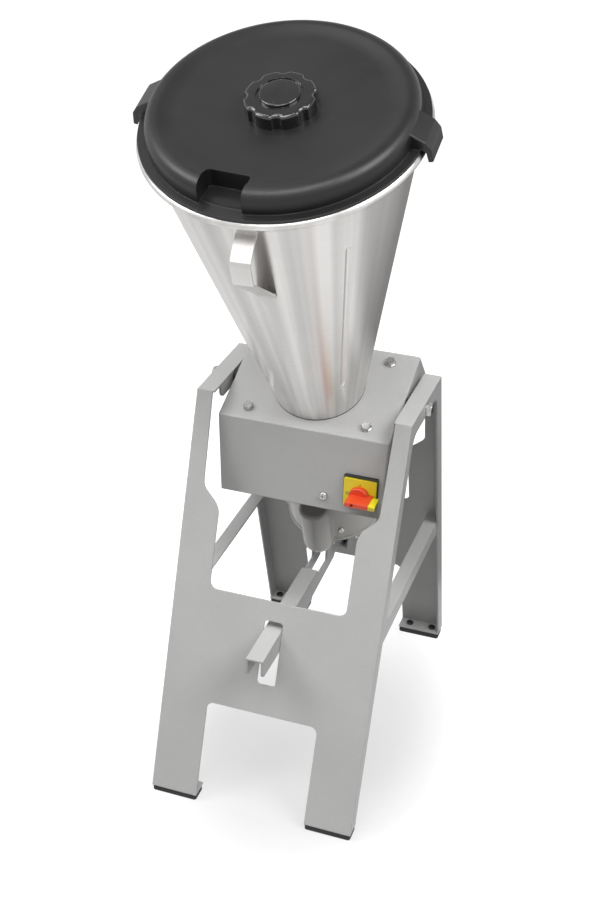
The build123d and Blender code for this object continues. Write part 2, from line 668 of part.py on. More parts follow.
def motor_shaft():
    """Motor shaft, carried up through the floor of the jar."""
    align = (Align.CENTER, Align.CENTER, Align.MIN)
    start = LOWER_BEARING - 2
    body = Pos(0, 0, start) * Cylinder(SHAFT / 2 - 0.01, SHAFT_SHOULDER - start, align=align)
    body += Pos(0, 0, SHAFT_SHOULDER) * Cylinder(SHAFT_END_RADIUS - 0.01, 42.0, align=align)
    return body


def rotor_core():
    face = Circle(41.5) - Circle(SHAFT / 2)
    for index in range(16):
        face -= Rot(0, 0, 22.5 * index) * Pos(37, 0) * Circle(2.2)
    return Pos(0, 0, CORE_LOW) * extrude(face, CORE_HIGH - CORE_LOW)


def cooling_fan():
    """Fan between the stator and the lower bearing."""
    body = ring(18.0, SHAFT / 2, -238, -214) + ring(56.0, 17.0, -216.5, -214)
    for index in range(8):
        body += Rot(0, 0, 45 * index) * Pos(36, 0, -226) * Box(42, 2.0, 22)
    return body


SHAFT_SHOULDER = BLADE_LOW - 6.0
SHAFT_END_RADIUS = 7.0


def blade_hub():
    """Collar under the lower blade and spacer between the blades, as two pieces."""
    collar = ring(18.0, SHAFT / 2, JAR_SEAT + 8.0, SHAFT_SHOULDER)
    collar += ring(18.0, SHAFT_END_RADIUS, SHAFT_SHOULDER, BLADE_LOW - 1.5)
    return solids([collar, ring(12.0, SHAFT_END_RADIUS, BLADE_LOW + 1.5, BLADE_HIGH - 1.5)])


def one_blade(reach, width, rise, lean):
    """Two-winged blade with its tips bent by lean degrees."""
    inner = reach * 0.45
    middle = Box(2 * inner, width, 3.0)
    wing = Polygon((0, -width / 2), (reach - inner, -width / 6), (reach - inner, width / 3),
                   (0, width / 2), align=None)
    wing = extrude(wing, 3.0 / 2, both=True)
    body = middle
    for turn in (0, 180):
        body += Rot(0, 0, turn) * Pos(inner - 0.4, 0, 0) * Rot(0, -lean, 0) * wing
    body -= Cylinder(SHAFT_END_RADIUS, 20)
    return Pos(0, 0, rise) * body


def upper_blade():
    return Rot(0, 0, 90) * one_blade(62.0, 26.0, BLADE_HIGH, 24.0)


def lower_blade():
    return one_blade(58.0, 30.0, BLADE_LOW, 12.0)


def blade_nut():
    """Cap nut on the shaft."""
    body = hexagon(24.0, 14.0) + Pos(0, 0, 14.0) * (Sphere(10.5) & Pos(0, 0, 10) * Box(40, 40, 20))
    body = Pos(0, 0, BLADE_HIGH + 1.5) * body
    bore = Cylinder(SHAFT_END_RADIUS, 42.5, align=(Align.CENTER, Align.CENTER, Align.MIN))
    return body - Pos(0, 0, SHAFT_SHOULDER) * bore


# jar
def jar_radius(z):
    """Outer radius of the cone at height z."""
    share = (z - JAR_SEAT) / (RIM_PLANE - 10.0 - JAR_SEAT)
    return JAR_BASE_RADIUS + (JAR_TOP_RADIUS - JAR_BASE_RADIUS) * share


def jar_seat_gasket():
    return ring(JAR_BASE_RADIUS, 28.0, BOX_TOP, JAR_SEAT) - jar_screw_holes(3.3)


def jar_screw_holes(radius):
    holes = None
    for angle in JAR_SCREW_ANGLES:
        hole = Rot(0, 0, angle) * Pos(JAR_SCREW_RADIUS, 0, 0) * Cylinder(radius, 100)
        holes = hole if holes is None else holes + hole
    return holes


def jar_cone():
    """Tapered jar wall with a rolled rim and four pressed ribs."""
    low, high = JAR_SEAT, RIM_PLANE - 10.0
    wall = JAR_WALL
    bead_r = RIM_RADIUS - RIM_BEAD
    bead_z = RIM_PLANE - RIM_BEAD
    outline = [(jar_radius(low), low), (jar_radius(high), high), (bead_r, bead_z - 2), (bead_r, bead_z + 1),
               (jar_radius(high) - wall, high + 1), (jar_radius(low) - wall, low)]
    face = Polygon(*outline, align=None) + Pos(bead_r, bead_z) * Circle(RIM_BEAD)
    body = revolve(Plane.XZ * face, Axis.Z)
    for angle in (45, 135, 225, 315):
        body -= Rot(0, 0, angle) * rib(RIB_RADIUS)
        body += Rot(0, 0, angle) * (rib(RIB_RADIUS) - rib(RIB_RADIUS - JAR_WALL) - outside_cone())
    return body


RIB_RADIUS = 8.0
RIB_OFFSET = 4.3            # middle of the pressing tool, outside the wall
RIB_LOW = 93.0
RIB_HIGH = 391.0


def rib(radius):
    """Round-ended bar lying along the cone wall: the space of one pressed groove."""
    ends = []
    for z in (RIB_LOW, RIB_HIGH):
        ends.append((jar_radius(z) + RIB_OFFSET, 0, z))
    body = rod(radius, ends[0], ends[1])
    for end in ends:
        body += Pos(*end) * Sphere(radius)
    return body


def outside_cone():
    """Everything outside the outer face of the jar wall."""
    low, high = JAR_SEAT - 5, RIM_PLANE - 12.0
    face = Polygon((jar_radius(low), low), (jar_radius(high), high), (260, high), (260, low), align=None)
    return revolve(Plane.XZ * face, Axis.Z)


def jar_bottom():
    """Thick floor plate of the jar with the seal seat."""
    radius = JAR_BASE_RADIUS - JAR_WALL - 0.02
    body = ring(radius, 16.0, JAR_SEAT, JAR_SEAT + 6.0)
    for angle in JAR_SCREW_ANGLES:
        body -= Rot(0, 0, angle) * Pos(JAR_SCREW_RADIUS, 0, JAR_SEAT + 6.0) * (
            Cone(3.0, 6.2, 3.2, align=(Align.CENTER, Align.CENTER, Align.MAX)) + Cylinder(3.0, 40))
    return body


def jar_screws():
    """Countersunk screws from the jar floor into the motor flange."""
    screw = Cone(2.95, 6.1, 3.1, align=(Align.CENTER, Align.CENTER, Align.MAX))
    screw += Cylinder(2.95, 15.0, align=(Align.CENTER, Align.CENTER, Align.MAX))
    screw -= Pos(0, 0, -1.0) * extrude(RegularPolygon(2.0, 6, major_radius=False), 4)
    return solids([Rot(0, 0, angle) * Pos(JAR_SCREW_RADIUS, 0, JAR_SEAT + 6.0) * screw
                   for angle in JAR_SCREW_ANGLES])


def shaft_seal():
    """Lip seal round the shaft in the floor of the jar."""
    body = ring(15.98, SHAFT / 2 + 0.04, JAR_SEAT, JAR_SEAT + 7.0)
    return body - ring(14.0, 12.0, JAR_SEAT + 4.5, JAR_SEAT + 9.0)


def strap_path():
    """Side view of the strap handle's outer face as (distance from the jar axis, height)."""
    top = STRAP_SHEET - 0.3
    return [(jar_radius(466) + top, 466.0), (jar_radius(452) + top, 452.0), (176.0, 448.0),
            (193.5, 437.0), (197.0, 430.0), (196.5, 404.0),
            (jar_radius(330) + top + 1.2, 330.0), (jar_radius(300) + top, 300.0)]


def handle_strap():
    """Bent strap on the front of the jar; its lower tab ends in a point."""
    outer = strap_path()
    line = Polyline(*outer)
    face = offset(line, STRAP_SHEET, side=Side.RIGHT)
    face = make_face(face.edges())
    body = Plane.XZ * face
    body = extrude(body, STRAP_WIDTH / 2, both=True)
    tip = Polygon((-STRAP_WIDTH, 325.0), (-STRAP_WIDTH / 2, 325.0), (0, 300.0), (STRAP_WIDTH / 2, 325.0),
                  (STRAP_WIDTH, 325.0), (STRAP_WIDTH, 290.0), (-STRAP_WIDTH, 290.0), align=None)
    body -= extrude(Plane.YZ * tip, 300, dir=(1, 0, 0))
    body -= cone_block()
    return Rot(0, 0, -90 + STRAP_TURN) * body


def cone_block():
    """The jar as one solid, for trimming pieces that sit on it."""
    low, high = JAR_SEAT, RIM_PLANE - 10.0
    bead_r = RIM_RADIUS - RIM_BEAD
    bead_z = RIM_PLANE - RIM_BEAD
    face = Polygon((0, low), (jar_radius(low), low), (jar_radius(high), high), (bead_r, bead_z - 2),
                   (bead_r, RIM_PLANE), (0, RIM_PLANE), align=None)
    face += Pos(bead_r, bead_z) * Circle(RIM_BEAD)
    return revolve(Plane.XZ * face, Axis.Z)


# lid
NOTCH = (-39.0, 17.0, -126.9)


def lid_dome(grow, dish):
    """Solid of the lid's raised part, shrunk by grow; dish is how far the middle is lowered."""
    radius = LID_DOME_RADIUS - grow
    top = RIM_PLANE + LID_HEIGHT - grow
    low = RIM_PLANE
    points = [(0, low), (radius + 1.0, low), (radius, top), (radius - LID_RIM, top),
              (radius - LID_RIM - 4.0, top - 2.0), (KNOB_RADIUS + 6, top - dish), (0, top - dish)]
    face = Polygon(*points, align=None)
    corner = face.vertices().sort_by_distance((radius, top, 0))[0]
    face = fillet(corner, LID_SHOULDER - grow)
    return revolve(Plane.XZ * face, Axis.Z)


def notch_block(grow):
    """Space of the notch in the front of the lid, grown outwards by grow."""
    x_low, x_high, y_back = NOTCH
    width = x_high - x_low + 2 * grow
    middle = (x_low + x_high) / 2
    depth = 80.0
    z_low = RIM_PLANE + LID_FLANGE - grow
    block = Box(width, depth, 60, align=(Align.CENTER, Align.MAX, Align.MIN))
    block = Pos(middle, y_back + grow, z_low) * block
    back = block.edges().filter_by(Axis.Z).sort_by(Axis.Y)[-2:]
    return fillet(back, 6.0 + grow)


def lid():
    """Black moulded lid: flat flange, raised dished dome, a notch in front, hooks over the rim at the sides."""
    dish = 8.0
    notch = notch_block(0.0)
    body = lid_dome(0.0, dish) - notch
    body += ring(LID_FLANGE_RADIUS, 100.0, RIM_PLANE, RIM_PLANE + LID_FLANGE)
    hollow = lid_dome(LID_WALL, dish) - notch_block(LID_WALL)
    hollow = hollow & (Pos(0, 0, RIM_PLANE) * Cylinder(400, 200, align=(Align.CENTER, Align.CENTER, Align.MIN)))
    body -= hollow
    skirt = 158.5
    body += ring(skirt, skirt - 3.0, RIM_PLANE - 9, RIM_PLANE + 4)
    z_top = RIM_PLANE + LID_HEIGHT - dish
    body -= Pos(0, 0, z_top) * Cylinder(FILLER_RADIUS, 40)
    body += ring(FILLER_RADIUS + 3, FILLER_RADIUS, z_top - 14, z_top - 1)
    for turn in (HOOK_TURN, HOOK_TURN + 180):
        body += Rot(0, 0, turn) * lid_hook()
    return Rot(0, 0, LID_TURN) * body


def lid_hook():
    """Moulded hook that passes over the rim on the right-hand side."""
    rim = RIM_RADIUS
    outline = [(rim - 17, RIM_PLANE + 2), (rim - 16.5, RIM_PLANE + 18), (rim - 20.5, RIM_PLANE + 25.5),
               (rim + 1, RIM_PLANE + 13.5), (rim + 8, RIM_PLANE + 4), (rim + 10, RIM_PLANE - 11.5),
               (rim + 4.5, RIM_PLANE - 12.5), (rim + 2, RIM_PLANE + 0.5), (rim - 2, RIM_PLANE + 3)]
    face = Polygon(*outline, align=None)
    for corner, radius in (((rim + 1, RIM_PLANE + 13.5), 6.0), ((rim + 8, RIM_PLANE + 4), 8.0)):
        face = fillet(face.vertices().sort_by_distance((*corner, 0))[0], radius)
    body = extrude(Plane.XZ * face, HOOK_WIDTH / 2, both=True)
    outer = body.edges().filter_by(lambda e: e.center().X > rim - 19 and e.center().Z > RIM_PLANE - 12)
    sides = outer.filter_by(lambda e: abs(abs(e.center().Y) - HOOK_WIDTH / 2) < 0.1)
    return chamfer(sides.filter_by(lambda e: e.center().Z > RIM_PLANE + 3.5 or e.center().X > rim + 7), 1.2)


def filler_cap():
    """Scalloped knob that closes the hole in the middle of the lid."""
    z_low = RIM_PLANE + LID_HEIGHT - 8.0
    face = Circle(KNOB_RADIUS)
    for index in range(8):
        face -= Rot(0, 0, 45 * index + 12) * Pos(KNOB_RADIUS + 5.0, 0) * Circle(8.5)
    face = fillet(face.vertices(), 2.5)
    body = extrude(face, KNOB_HEIGHT)
    rim = body.faces().sort_by(Axis.Z)[-1].edges()
    body = fillet(rim, 4.5)
    body -= Pos(0, 0, KNOB_HEIGHT) * ring(KNOB_RADIUS - 15.0, KNOB_RADIUS - 19.5, -2.0, 1.0)
    button = Pos(0, 0, KNOB_HEIGHT) * Cylinder(KNOB_RADIUS - 19.5, 4.0)
    body += fillet(button.edges().sort_by(Axis.Z)[-1], 1.5)
    body -= Pos(0, 0, -1) * Cylinder(FILLER_RADIUS - 4, KNOB_HEIGHT - 3, align=(Align.CENTER, Align.CENTER, Align.MIN))
    body += ring(FILLER_RADIUS - RUN_GAP, FILLER_RADIUS - 4, -16.0, 2.0)
    return Pos(0, 0, z_low) * body


# switch
def on_switch(shape):
    return box_front_plane() * Pos(SWITCH_X, -SWITCH_DOWN, 0) * shape


SWITCH_BASE_HEIGHT = 5.0
SWITCH_PLATE_HEIGHT = 2.5


def switch_base():
    """Black square base of the rotary switch."""
    body = extrude(RectangleRounded(*SWITCH_BASE_SIZE, 2.0), SWITCH_BASE_HEIGHT)
    return on_switch(Pos(0, SWITCH_RAISE + 1.1, 0) * body - Cylinder(8.0, 30))


def switch_plate():
    """Yellow plate on the base."""
    body = extrude(RectangleRounded(*SWITCH_SIZE, 1.5), SWITCH_PLATE_HEIGHT)
    return on_switch(Pos(0, SWITCH_RAISE, SWITCH_BASE_HEIGHT) * body - Cylinder(8.0, 60))


def switch_body():
    """Contact block behind the front face of the box."""
    body = Pos(0, 0, -BOX_SHEET) * Box(44, 44, 36, align=(Align.CENTER, Align.CENTER, Align.MAX))
    body += Cylinder(14.5, BOX_SHEET, align=(Align.CENTER, Align.CENTER, Align.MAX))
    body -= Cylinder(3.0 + FIT, 40)
    for x in (-15, 0, 15):
        body -= Pos(x, -20, -24) * Box(8, 12, 8)
    return on_switch(body)


GRIP_WIDTH = 7.5
GRIP_HEIGHT = 32.0
GRIP_LEFT = -13.0
GRIP_RIGHT = 21.0
HANDLE_BASE = SWITCH_BASE_HEIGHT + SWITCH_PLATE_HEIGHT + RUN_GAP


def slide_tongue(play):
    """The part of the padlock slide that runs in the grip, grown by play on each side."""
    body = Box(12.0 + play, 3.0 + 2 * play, 20.0 + 2 * play)
    return Pos(GRIP_RIGHT - 6.0 - play / 2, 0, HANDLE_BASE + 16.0) * body


def switch_handle():
    """Red handle: a round hub with a tall thin grip across it and a padlock hole."""
    align = (Align.CENTER, Align.CENTER, Align.MIN)
    hub = fillet(Cylinder(14.5, 8.0, align=align).edges().filter_by(GeomType.CIRCLE).sort_by(Axis.Z)[-1], 2.5)
    middle = (GRIP_LEFT + GRIP_RIGHT) / 2
    grip = Pos(middle, 0) * RectangleRounded(GRIP_RIGHT - GRIP_LEFT, GRIP_WIDTH, 1.5)
    grip = extrude(grip, GRIP_HEIGHT)
    grip = fillet(grip.faces().sort_by(Axis.Z)[-1].edges(), 1.2)
    body = Pos(0, 0, HANDLE_BASE) * (hub + grip)
    body -= Pos(-2.5, 0, HANDLE_BASE + GRIP_HEIGHT) * Cylinder(2.3, 24.0)
    spindle = Pos(0, 0, -20) * Cylinder(3.0, 20 + HANDLE_BASE + 1, align=align)
    return on_switch(body + spindle - slide_tongue(FIT))


def padlock_slide():
    """Yellow slide in the end of the grip, pulled out to take a padlock."""
    block = Box(9.5, GRIP_WIDTH, GRIP_HEIGHT - 5.0, align=(Align.MIN, Align.CENTER, Align.MIN))
    block = fillet(block.edges(), 1.0)
    return on_switch(Pos(GRIP_RIGHT, 0, HANDLE_BASE + 5.0) * block + slide_tongue(0.0))


# pedal
def pin_height():
    """Height of the latch pin, which lies on the sector rim."""
    reach = SECTOR_RADIUS + RUN_GAP + PIN_RADIUS
    return PIVOT_Z - sqrt(reach * reach - PIN_Y * PIN_Y)


def head_top(y):
    """Height of the sweep circle above a point of the lever head."""
    return PIVOT_Z - sqrt(SWEEP_RADIUS * SWEEP_RADIUS - y * y)


def lever_side():
    """Side view of one flange of the lever."""
    pivot_y, pivot_z = LEVER_PIVOT
    eye = 11.0
    points = [(LEVER_FRONT, LEVER_TOP), (-19, LEVER_TOP), (-19, 271.5), (28, 271.5), (28, head_top(28)),
              (46, head_top(46)), (62, head_top(62)), (76, head_top(76) - 1.0), (84, 288.0), (100, 283.5),
              (pivot_y, pivot_z + eye), (pivot_y, pivot_z - eye), (73.9, 261.0), (65.7, 254.3),
              (-43.5, 247.4), (-43.5, 243.6), (-71, 242.0), (-194, 247.9), (LEVER_FRONT, 251.0)]
    face = Polygon(*points, align=None)
    corner = face.vertices().sort_by_distance((LEVER_FRONT, 251.0, 0))[0]
    face = fillet(corner, 9.0)
    return face + Pos(pivot_y, pivot_z) * Circle(eye)


def pedal_lever():
    """Foot lever: an upside-down channel in front, two arms behind, joined by a spring seat."""
    flange = Plane.YZ * lever_side()
    body = None
    for x in (-LEVER_WIDTH / 2, LEVER_WIDTH / 2 - LEVER_SHEET):
        arm = Pos(x, 0, 0) * extrude(flange, LEVER_SHEET, dir=(1, 0, 0))
        body = arm if body is None else body + arm
    web = Pos(0, (LEVER_FRONT - 19) / 2, LEVER_TOP - LEVER_SHEET / 2)
    body += web * Box(LEVER_WIDTH, -19 - LEVER_FRONT, LEVER_SHEET)
    body += Pos(0, SPRING_Y, SPRING_TOP + 1.5) * Box(LEVER_WIDTH, 24, 3.0)
    body -= rod(PIN_RADIUS, (-30, PIN_Y, pin_height()), (30, PIN_Y, pin_height()))
    body -= rod(PEDAL_PIN / 2, (-30, *LEVER_PIVOT), (30, *LEVER_PIVOT))
    return body


PEDAL_PIN = 10.0
SPRING_Y = 146.0
SPRING_TOP = 260.0
SHELF_TOP = 232.0
EAR_INNER = 15.0


def latch_pin():
    reach = LEVER_WIDTH / 2 + 1.5
    body = rod(PIN_RADIUS - 0.01, (-reach, PIN_Y, pin_height()), (reach, PIN_Y, pin_height()))
    return chamfer(body.edges().filter_by(GeomType.CIRCLE), 1.0)


def lever_bumper():
    """Rubber buffer under the lever, just behind the front plate."""
    y_low, y_high = -95.0, -73.0
    inner = LEVER_WIDTH / 2 - LEVER_SHEET - 0.01
    body = Pos(0, (y_low + y_high) / 2, 240.0) * Box(
        2 * inner, y_high - y_low, 30.0, align=(Align.CENTER, Align.CENTER, Align.MIN))
    return body


def pedal_bracket():
    """Bracket on the rear plate: two ears for the lever pin and a shelf for the spring."""
    z_low, z_high = 204.0, 311.0
    depth = 2 * SHEET
    back = [(inner_y(z_low, depth), z_low), (inner_y(z_low), z_low), (inner_y(z_high), z_high),
            (inner_y(z_high, depth), z_high)]
    body = side_profile(back, -EAR_INNER - SHEET - 1.0, EAR_INNER + SHEET + 1.0)
    ear = [(132, SHELF_TOP - 3), (inner_y(229, 5.0), 229), (inner_y(290, 5.0), 290), (161, 288),
           (152, 268), (132, 240)]
    for side in (-1, 1):
        x_low, x_high = sorted((side * EAR_INNER, side * (EAR_INNER + SHEET)))
        body += side_profile(ear, x_low, x_high)
    shelf_end = inner_y(SHELF_TOP, 5.0)
    shelf_mid = (132 + shelf_end) / 2
    body += Pos(0, shelf_mid, SHELF_TOP - 1.5) * Box(2 * EAR_INNER + SHEET, shelf_end - 132, 3.0)
    body -= rod(PEDAL_PIN / 2, (-30, *LEVER_PIVOT), (30, *LEVER_PIVOT))
    return body - bracket_bolt_holes()


def pedal_pin():
    reach = EAR_INNER + SHEET + 5.0
    body = rod(PEDAL_PIN / 2 - FIT, (-reach, *LEVER_PIVOT), (reach, *LEVER_PIVOT))
    return chamfer(body.edges().filter_by(GeomType.CIRCLE), 0.8)


def pedal_pin_clips():
    """Spring rings that keep the pin in its ears."""
    def one():
        clip = ring(8.5, PEDAL_PIN / 2 - FIT, 0, 1.5)
        return Plane(origin=(EAR_INNER + SHEET + 0.2, *LEVER_PIVOT), z_dir=(1, 0, 0)) * clip
    right = one()
    left = Plane(origin=(-EAR_INNER - SHEET - 1.7, *LEVER_PIVOT), z_dir=(1, 0, 0)) * ring(
        8.5, PEDAL_PIN / 2 - FIT, 0, 1.5)
    return solids([right, left])


def bracket_bolts():
    bolt = hex_bolt(BRACKET_BOLT, 10.0, 4.0, 2 * SHEET + 3.0)
    made = []
    for z in BRACKET_BOLT_Z:
        for x in (-BRACKET_BOLT_X, BRACKET_BOLT_X):
            made.append(inner_face_plane(z) * Pos(x, 0, SHEET) * bolt)
    return solids(made)


def pedal_spring():
    """Compression spring between the shelf and the lever."""
    wire = 1.0
    low, high = SHELF_TOP + wire + 0.02, SPRING_TOP - wire - 0.02
    coil = Helix(pitch=(high - low) / 6.0, height=high - low, radius=7.0)
    start = coil @ 0
    section = Plane(origin=start, z_dir=coil % 0) * Circle(wire)
    return Pos(0, SPRING_Y, low) * sweep(section, path=coil, is_frenet=True)


# make every piece
FRAME_PIECES = [front_frame_plate, rear_frame_plate, left_top_rail, right_top_rail, left_side_brace,
                right_side_brace, foot_screws, pivot_bolts, pivot_spacers, pivot_nuts, pedal_bracket,
                pedal_pin, pedal_pin_clips, bracket_bolts, pedal_spring, pedal_lever, latch_pin, lever_bumper]
UNIT_PIECES = [motor_box, trunnion_bosses, pivot_bushes, box_top_bolts, panel_screw, cable_gland,
               motor_upper_flange, motor_housing, stator_core, stator_windings, motor_lower_shield,
               shield_screws, motor_bearings, capacitor_cover, capacitor, latch_sector, sector_bolts,
               motor_shaft, rotor_core, cooling_fan, blade_hub, upper_blade, lower_blade, blade_nut,
               jar_seat_gasket, jar_cone, jar_bottom, jar_screws, shaft_seal, handle_strap, lid, filler_cap,
               switch_base, switch_plate, switch_body, switch_handle, padlock_slide]

for make in FRAME_PIECES:
    export_step(on_frame(make()), "parts/" + make.__name__ + ".step")
for name, pad in foot_pads().items():
    export_step(on_frame(pad), "parts/" + name + ".step")
for make in UNIT_PIECES:
    export_step(on_unit(make()), "parts/" + make.__name__ + ".step")
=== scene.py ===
# %% [markdown]
# # A tilting catering blender, dressed
#
# The imported model already has every sheet, bolt and blade in its true place, in metres.  This lesson
# gives those pieces their finishes, adds the small work that a drawing leaves out, such as weld beads
# and switch marks, and sets up a plain studio.  The frame comes first, because every later cell builds
# on the pieces that it brings in.

# %% Load the frame
import json
from math import cos, pi, radians, sin

import bpy
from mathutils import Matrix, Vector


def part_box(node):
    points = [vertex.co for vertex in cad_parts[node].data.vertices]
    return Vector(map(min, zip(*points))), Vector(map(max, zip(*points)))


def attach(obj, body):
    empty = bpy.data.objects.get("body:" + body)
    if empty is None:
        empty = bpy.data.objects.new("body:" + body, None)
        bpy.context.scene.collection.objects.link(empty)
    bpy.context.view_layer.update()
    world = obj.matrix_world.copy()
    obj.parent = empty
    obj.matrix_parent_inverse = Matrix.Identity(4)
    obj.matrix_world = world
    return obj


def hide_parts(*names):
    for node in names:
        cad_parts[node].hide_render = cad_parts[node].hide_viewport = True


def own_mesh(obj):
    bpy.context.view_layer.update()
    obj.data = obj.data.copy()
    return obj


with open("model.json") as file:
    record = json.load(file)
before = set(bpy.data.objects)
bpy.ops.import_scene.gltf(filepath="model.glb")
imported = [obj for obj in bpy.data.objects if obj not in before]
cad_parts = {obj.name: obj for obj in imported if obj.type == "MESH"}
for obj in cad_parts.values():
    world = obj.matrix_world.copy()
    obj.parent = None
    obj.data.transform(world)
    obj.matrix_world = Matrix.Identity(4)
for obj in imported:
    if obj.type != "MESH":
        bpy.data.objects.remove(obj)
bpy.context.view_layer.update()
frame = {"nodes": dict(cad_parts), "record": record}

nodes = frame["nodes"]

# %% [markdown]
# ## The machine's own axes
#
# The jar, the motor and their box swing about a bolt on each side.  Anything fixed to them is easiest to
# place in axes that swing too: the origin on the bolts, and Z up the middle of the jar.  The camera
# needs the line of the bolts as well, because its distances were found from there.

# %% Tilting axes
PIVOT = Vector((0.0, 0.0334, 0.5796))  # midway between the two bolts, in metres
TILT = radians(23.6)
unit = Matrix.Translation(PIVOT) @ Matrix.Rotation(TILT, 4, "X")
JAR_AXIS = (unit.to_3x3() @ Vector((0, 0, 1))).normalized()
print("jar axis", [round(v, 3) for v in JAR_AXIS])

# %% [markdown]
# ## Camera
#
# A photograph taken from close by makes edges that run away from us meet.  The edges of the frame, the
# rim of the jar and the four pads fix where the camera stood: a little to the right, high up, and about
# two metres off.  The picture is an upright 600 by 900, so its height sets the lens.  The lens shift only
# puts the machine where the photographer framed it.

# %% Camera
PHOTO = (600, 900)
FOCAL = 1407.5  # pixels
CENTRE = (273.0, 518.9)  # the pixel straight ahead of the lens
SENSOR_HEIGHT = 36.0
AIM_HEIGHT = 0.425
DISTANCE, SIDESTEP, DROP = 2.1189, 0.0662, 0.0545
azimuth, elevation, roll = radians(19.0), radians(31.6), radians(1.2)
toward = Vector((-sin(azimuth) * cos(elevation), cos(azimuth) * cos(elevation), -sin(elevation)))
level = Vector((cos(azimuth), sin(azimuth), 0))
upward = level.cross(toward)
right = level * cos(roll) + upward * sin(roll)
up = -level * sin(roll) + upward * cos(roll)
eye = Vector((0, PIVOT.y, AIM_HEIGHT)) - toward * DISTANCE - right * SIDESTEP - up * DROP
camera = bpy.data.objects.new("camera", bpy.data.cameras.new("camera"))
bpy.context.scene.collection.objects.link(camera)
camera.matrix_world = Matrix.Translation(eye) @ Matrix((right, up, -toward)).transposed().to_4x4()
camera.data.sensor_fit = "VERTICAL"
camera.data.sensor_height = SENSOR_HEIGHT
camera.data.lens = SENSOR_HEIGHT * FOCAL / PHOTO[1]
camera.data.shift_x = (PHOTO[0] / 2 - CENTRE[0]) / PHOTO[1]
camera.data.shift_y = (CENTRE[1] - PHOTO[1] / 2) / PHOTO[1]
bpy.context.scene.camera = camera
print("lens", round(camera.data.lens, 1), "eye", [round(v, 3) for v in eye])

# %% [markdown]
# ## Two small helpers for materials
#
# Colours are written as on the web, in sRGB, and the shader wants them linear.  Nodes are added by one
# function that sets and links them, so that each material below reads from its texture to its surface.
# No real edge is perfectly sharp, and its small radius catches a line of light.  The Bevel node turns the
# normals near an edge as that radius would, which costs no faces.  A Mix node has sockets of one name for
# each kind of value, so they are set by number: 0 is the factor, 2 and 3 are values, 6 and 7 are colours.

# %% Colour and node helpers
def linear(colour):
    """Turns a hex colour such as "#8a8a8a" into the linear values that a shader works in."""
    values = [int(colour[i:i + 2], 16) / 255 for i in (1, 3, 5)]
    return [v / 12.92 if v <= 0.04045 else ((v + 0.055) / 1.055) ** 2.4 for v in values] + [1.0]


def add(tree, kind, inputs=(), **settings):
    """Adds a node with its settings, and sets or links the inputs named."""
    node = tree.nodes.new(kind)
    for name, value in settings.items():
        setattr(node, name, value)
    for name, value in dict(inputs).items():
        socket = node.inputs[name]
        if isinstance(value, bpy.types.NodeSocket):
            tree.links.new(value, socket)
        else:
            socket.default_value = value
    return node


def new_material(name):
    """An empty material with the object's own coordinates ready."""
    material = bpy.data.materials.new(name)
    material.use_nodes = True
    tree = material.node_tree
    tree.nodes.clear()
    place = add(tree, "ShaderNodeTexCoord").outputs["Object"]
    return material, tree, place


def finish_surface(tree, shader, height, distance, strength, edge=0.0):
    """Joins a Principled shader to the output, with bumps from a height and edges rounded to a radius."""
    bump = add(tree, "ShaderNodeBump", {"Height": height, "Distance": distance, "Strength": strength})
    if edge:
        rounded = add(tree, "ShaderNodeBevel", {"Radius": edge}, samples=4)
        tree.links.new(rounded.outputs["Normal"], bump.inputs["Normal"])
    tree.links.new(bump.outputs["Normal"], shader.inputs["Normal"])
    add(tree, "ShaderNodeOutputMaterial", {"Surface": shader.outputs["BSDF"]})


finishes = {}
print("white is", [round(v, 3) for v in linear("#ffffff")])

# %% [markdown]
# ## Powder coat
#
# The A-frame and the motor box are folded steel sheet with a baked powder coat.  Up close it has a fine
# orange peel about a millimetre across, and over a hand's width the grey drifts a little where the
# powder fell thicker.  Both come from noise in the piece's own coordinates.  The peel is drawn at three
# millimetres, because a finer one would vanish at this picture's size.

# %% Powder coat on the sheet
DRIFT_SIZE, SPECK_SIZE, PEEL_SIZE = 0.09, 0.0022, 0.003
FOLD_RADIUS = 0.0012


def powder_coat(name, light, dark, roughness):
    """Baked powder on folded sheet: a grey that drifts, under a fine peel."""
    material, tree, place = new_material(name)
    drift = add(tree, "ShaderNodeTexNoise", {"Vector": place, "Scale": 1 / DRIFT_SIZE, "Detail": 3.0})
    speck = add(tree, "ShaderNodeTexNoise", {"Vector": place, "Scale": 1 / SPECK_SIZE, "Detail": 2.0})
    blend = add(tree, "ShaderNodeMath", {0: drift.outputs["Fac"], 1: speck.outputs["Fac"]}, operation="ADD")
    share = add(tree, "ShaderNodeMapRange", {"Value": blend.outputs[0], "From Min": 0.75, "From Max": 1.25})
    tint = add(tree, "ShaderNodeMix", {0: share.outputs["Result"], 6: linear(dark), 7: linear(light)},
               data_type="RGBA")
    gloss = add(tree, "ShaderNodeMapRange", {"Value": speck.outputs["Fac"], "From Min": 0.3, "From Max": 0.7,
                                             "To Min": roughness - 0.04, "To Max": roughness + 0.05})
    shader = add(tree, "ShaderNodeBsdfPrincipled", {"Base Color": tint.outputs[2],
                                                    "Roughness": gloss.outputs["Result"], "IOR": 1.5})
    peel = add(tree, "ShaderNodeTexNoise", {"Vector": place, "Scale": 1 / PEEL_SIZE, "Detail": 1.0})
    finish_surface(tree, shader, peel.outputs["Fac"], 0.0001, 0.35, FOLD_RADIUS)
    return material


finishes["frame_paint"] = powder_coat("powder_coat_light_grey", "#bdbdbc", "#b6b6b5", 0.42)
finishes["box_paint"] = powder_coat("powder_coat_light_grey_smooth", "#bdbdbc", "#b6b6b5", 0.4)
print("powder coats made")
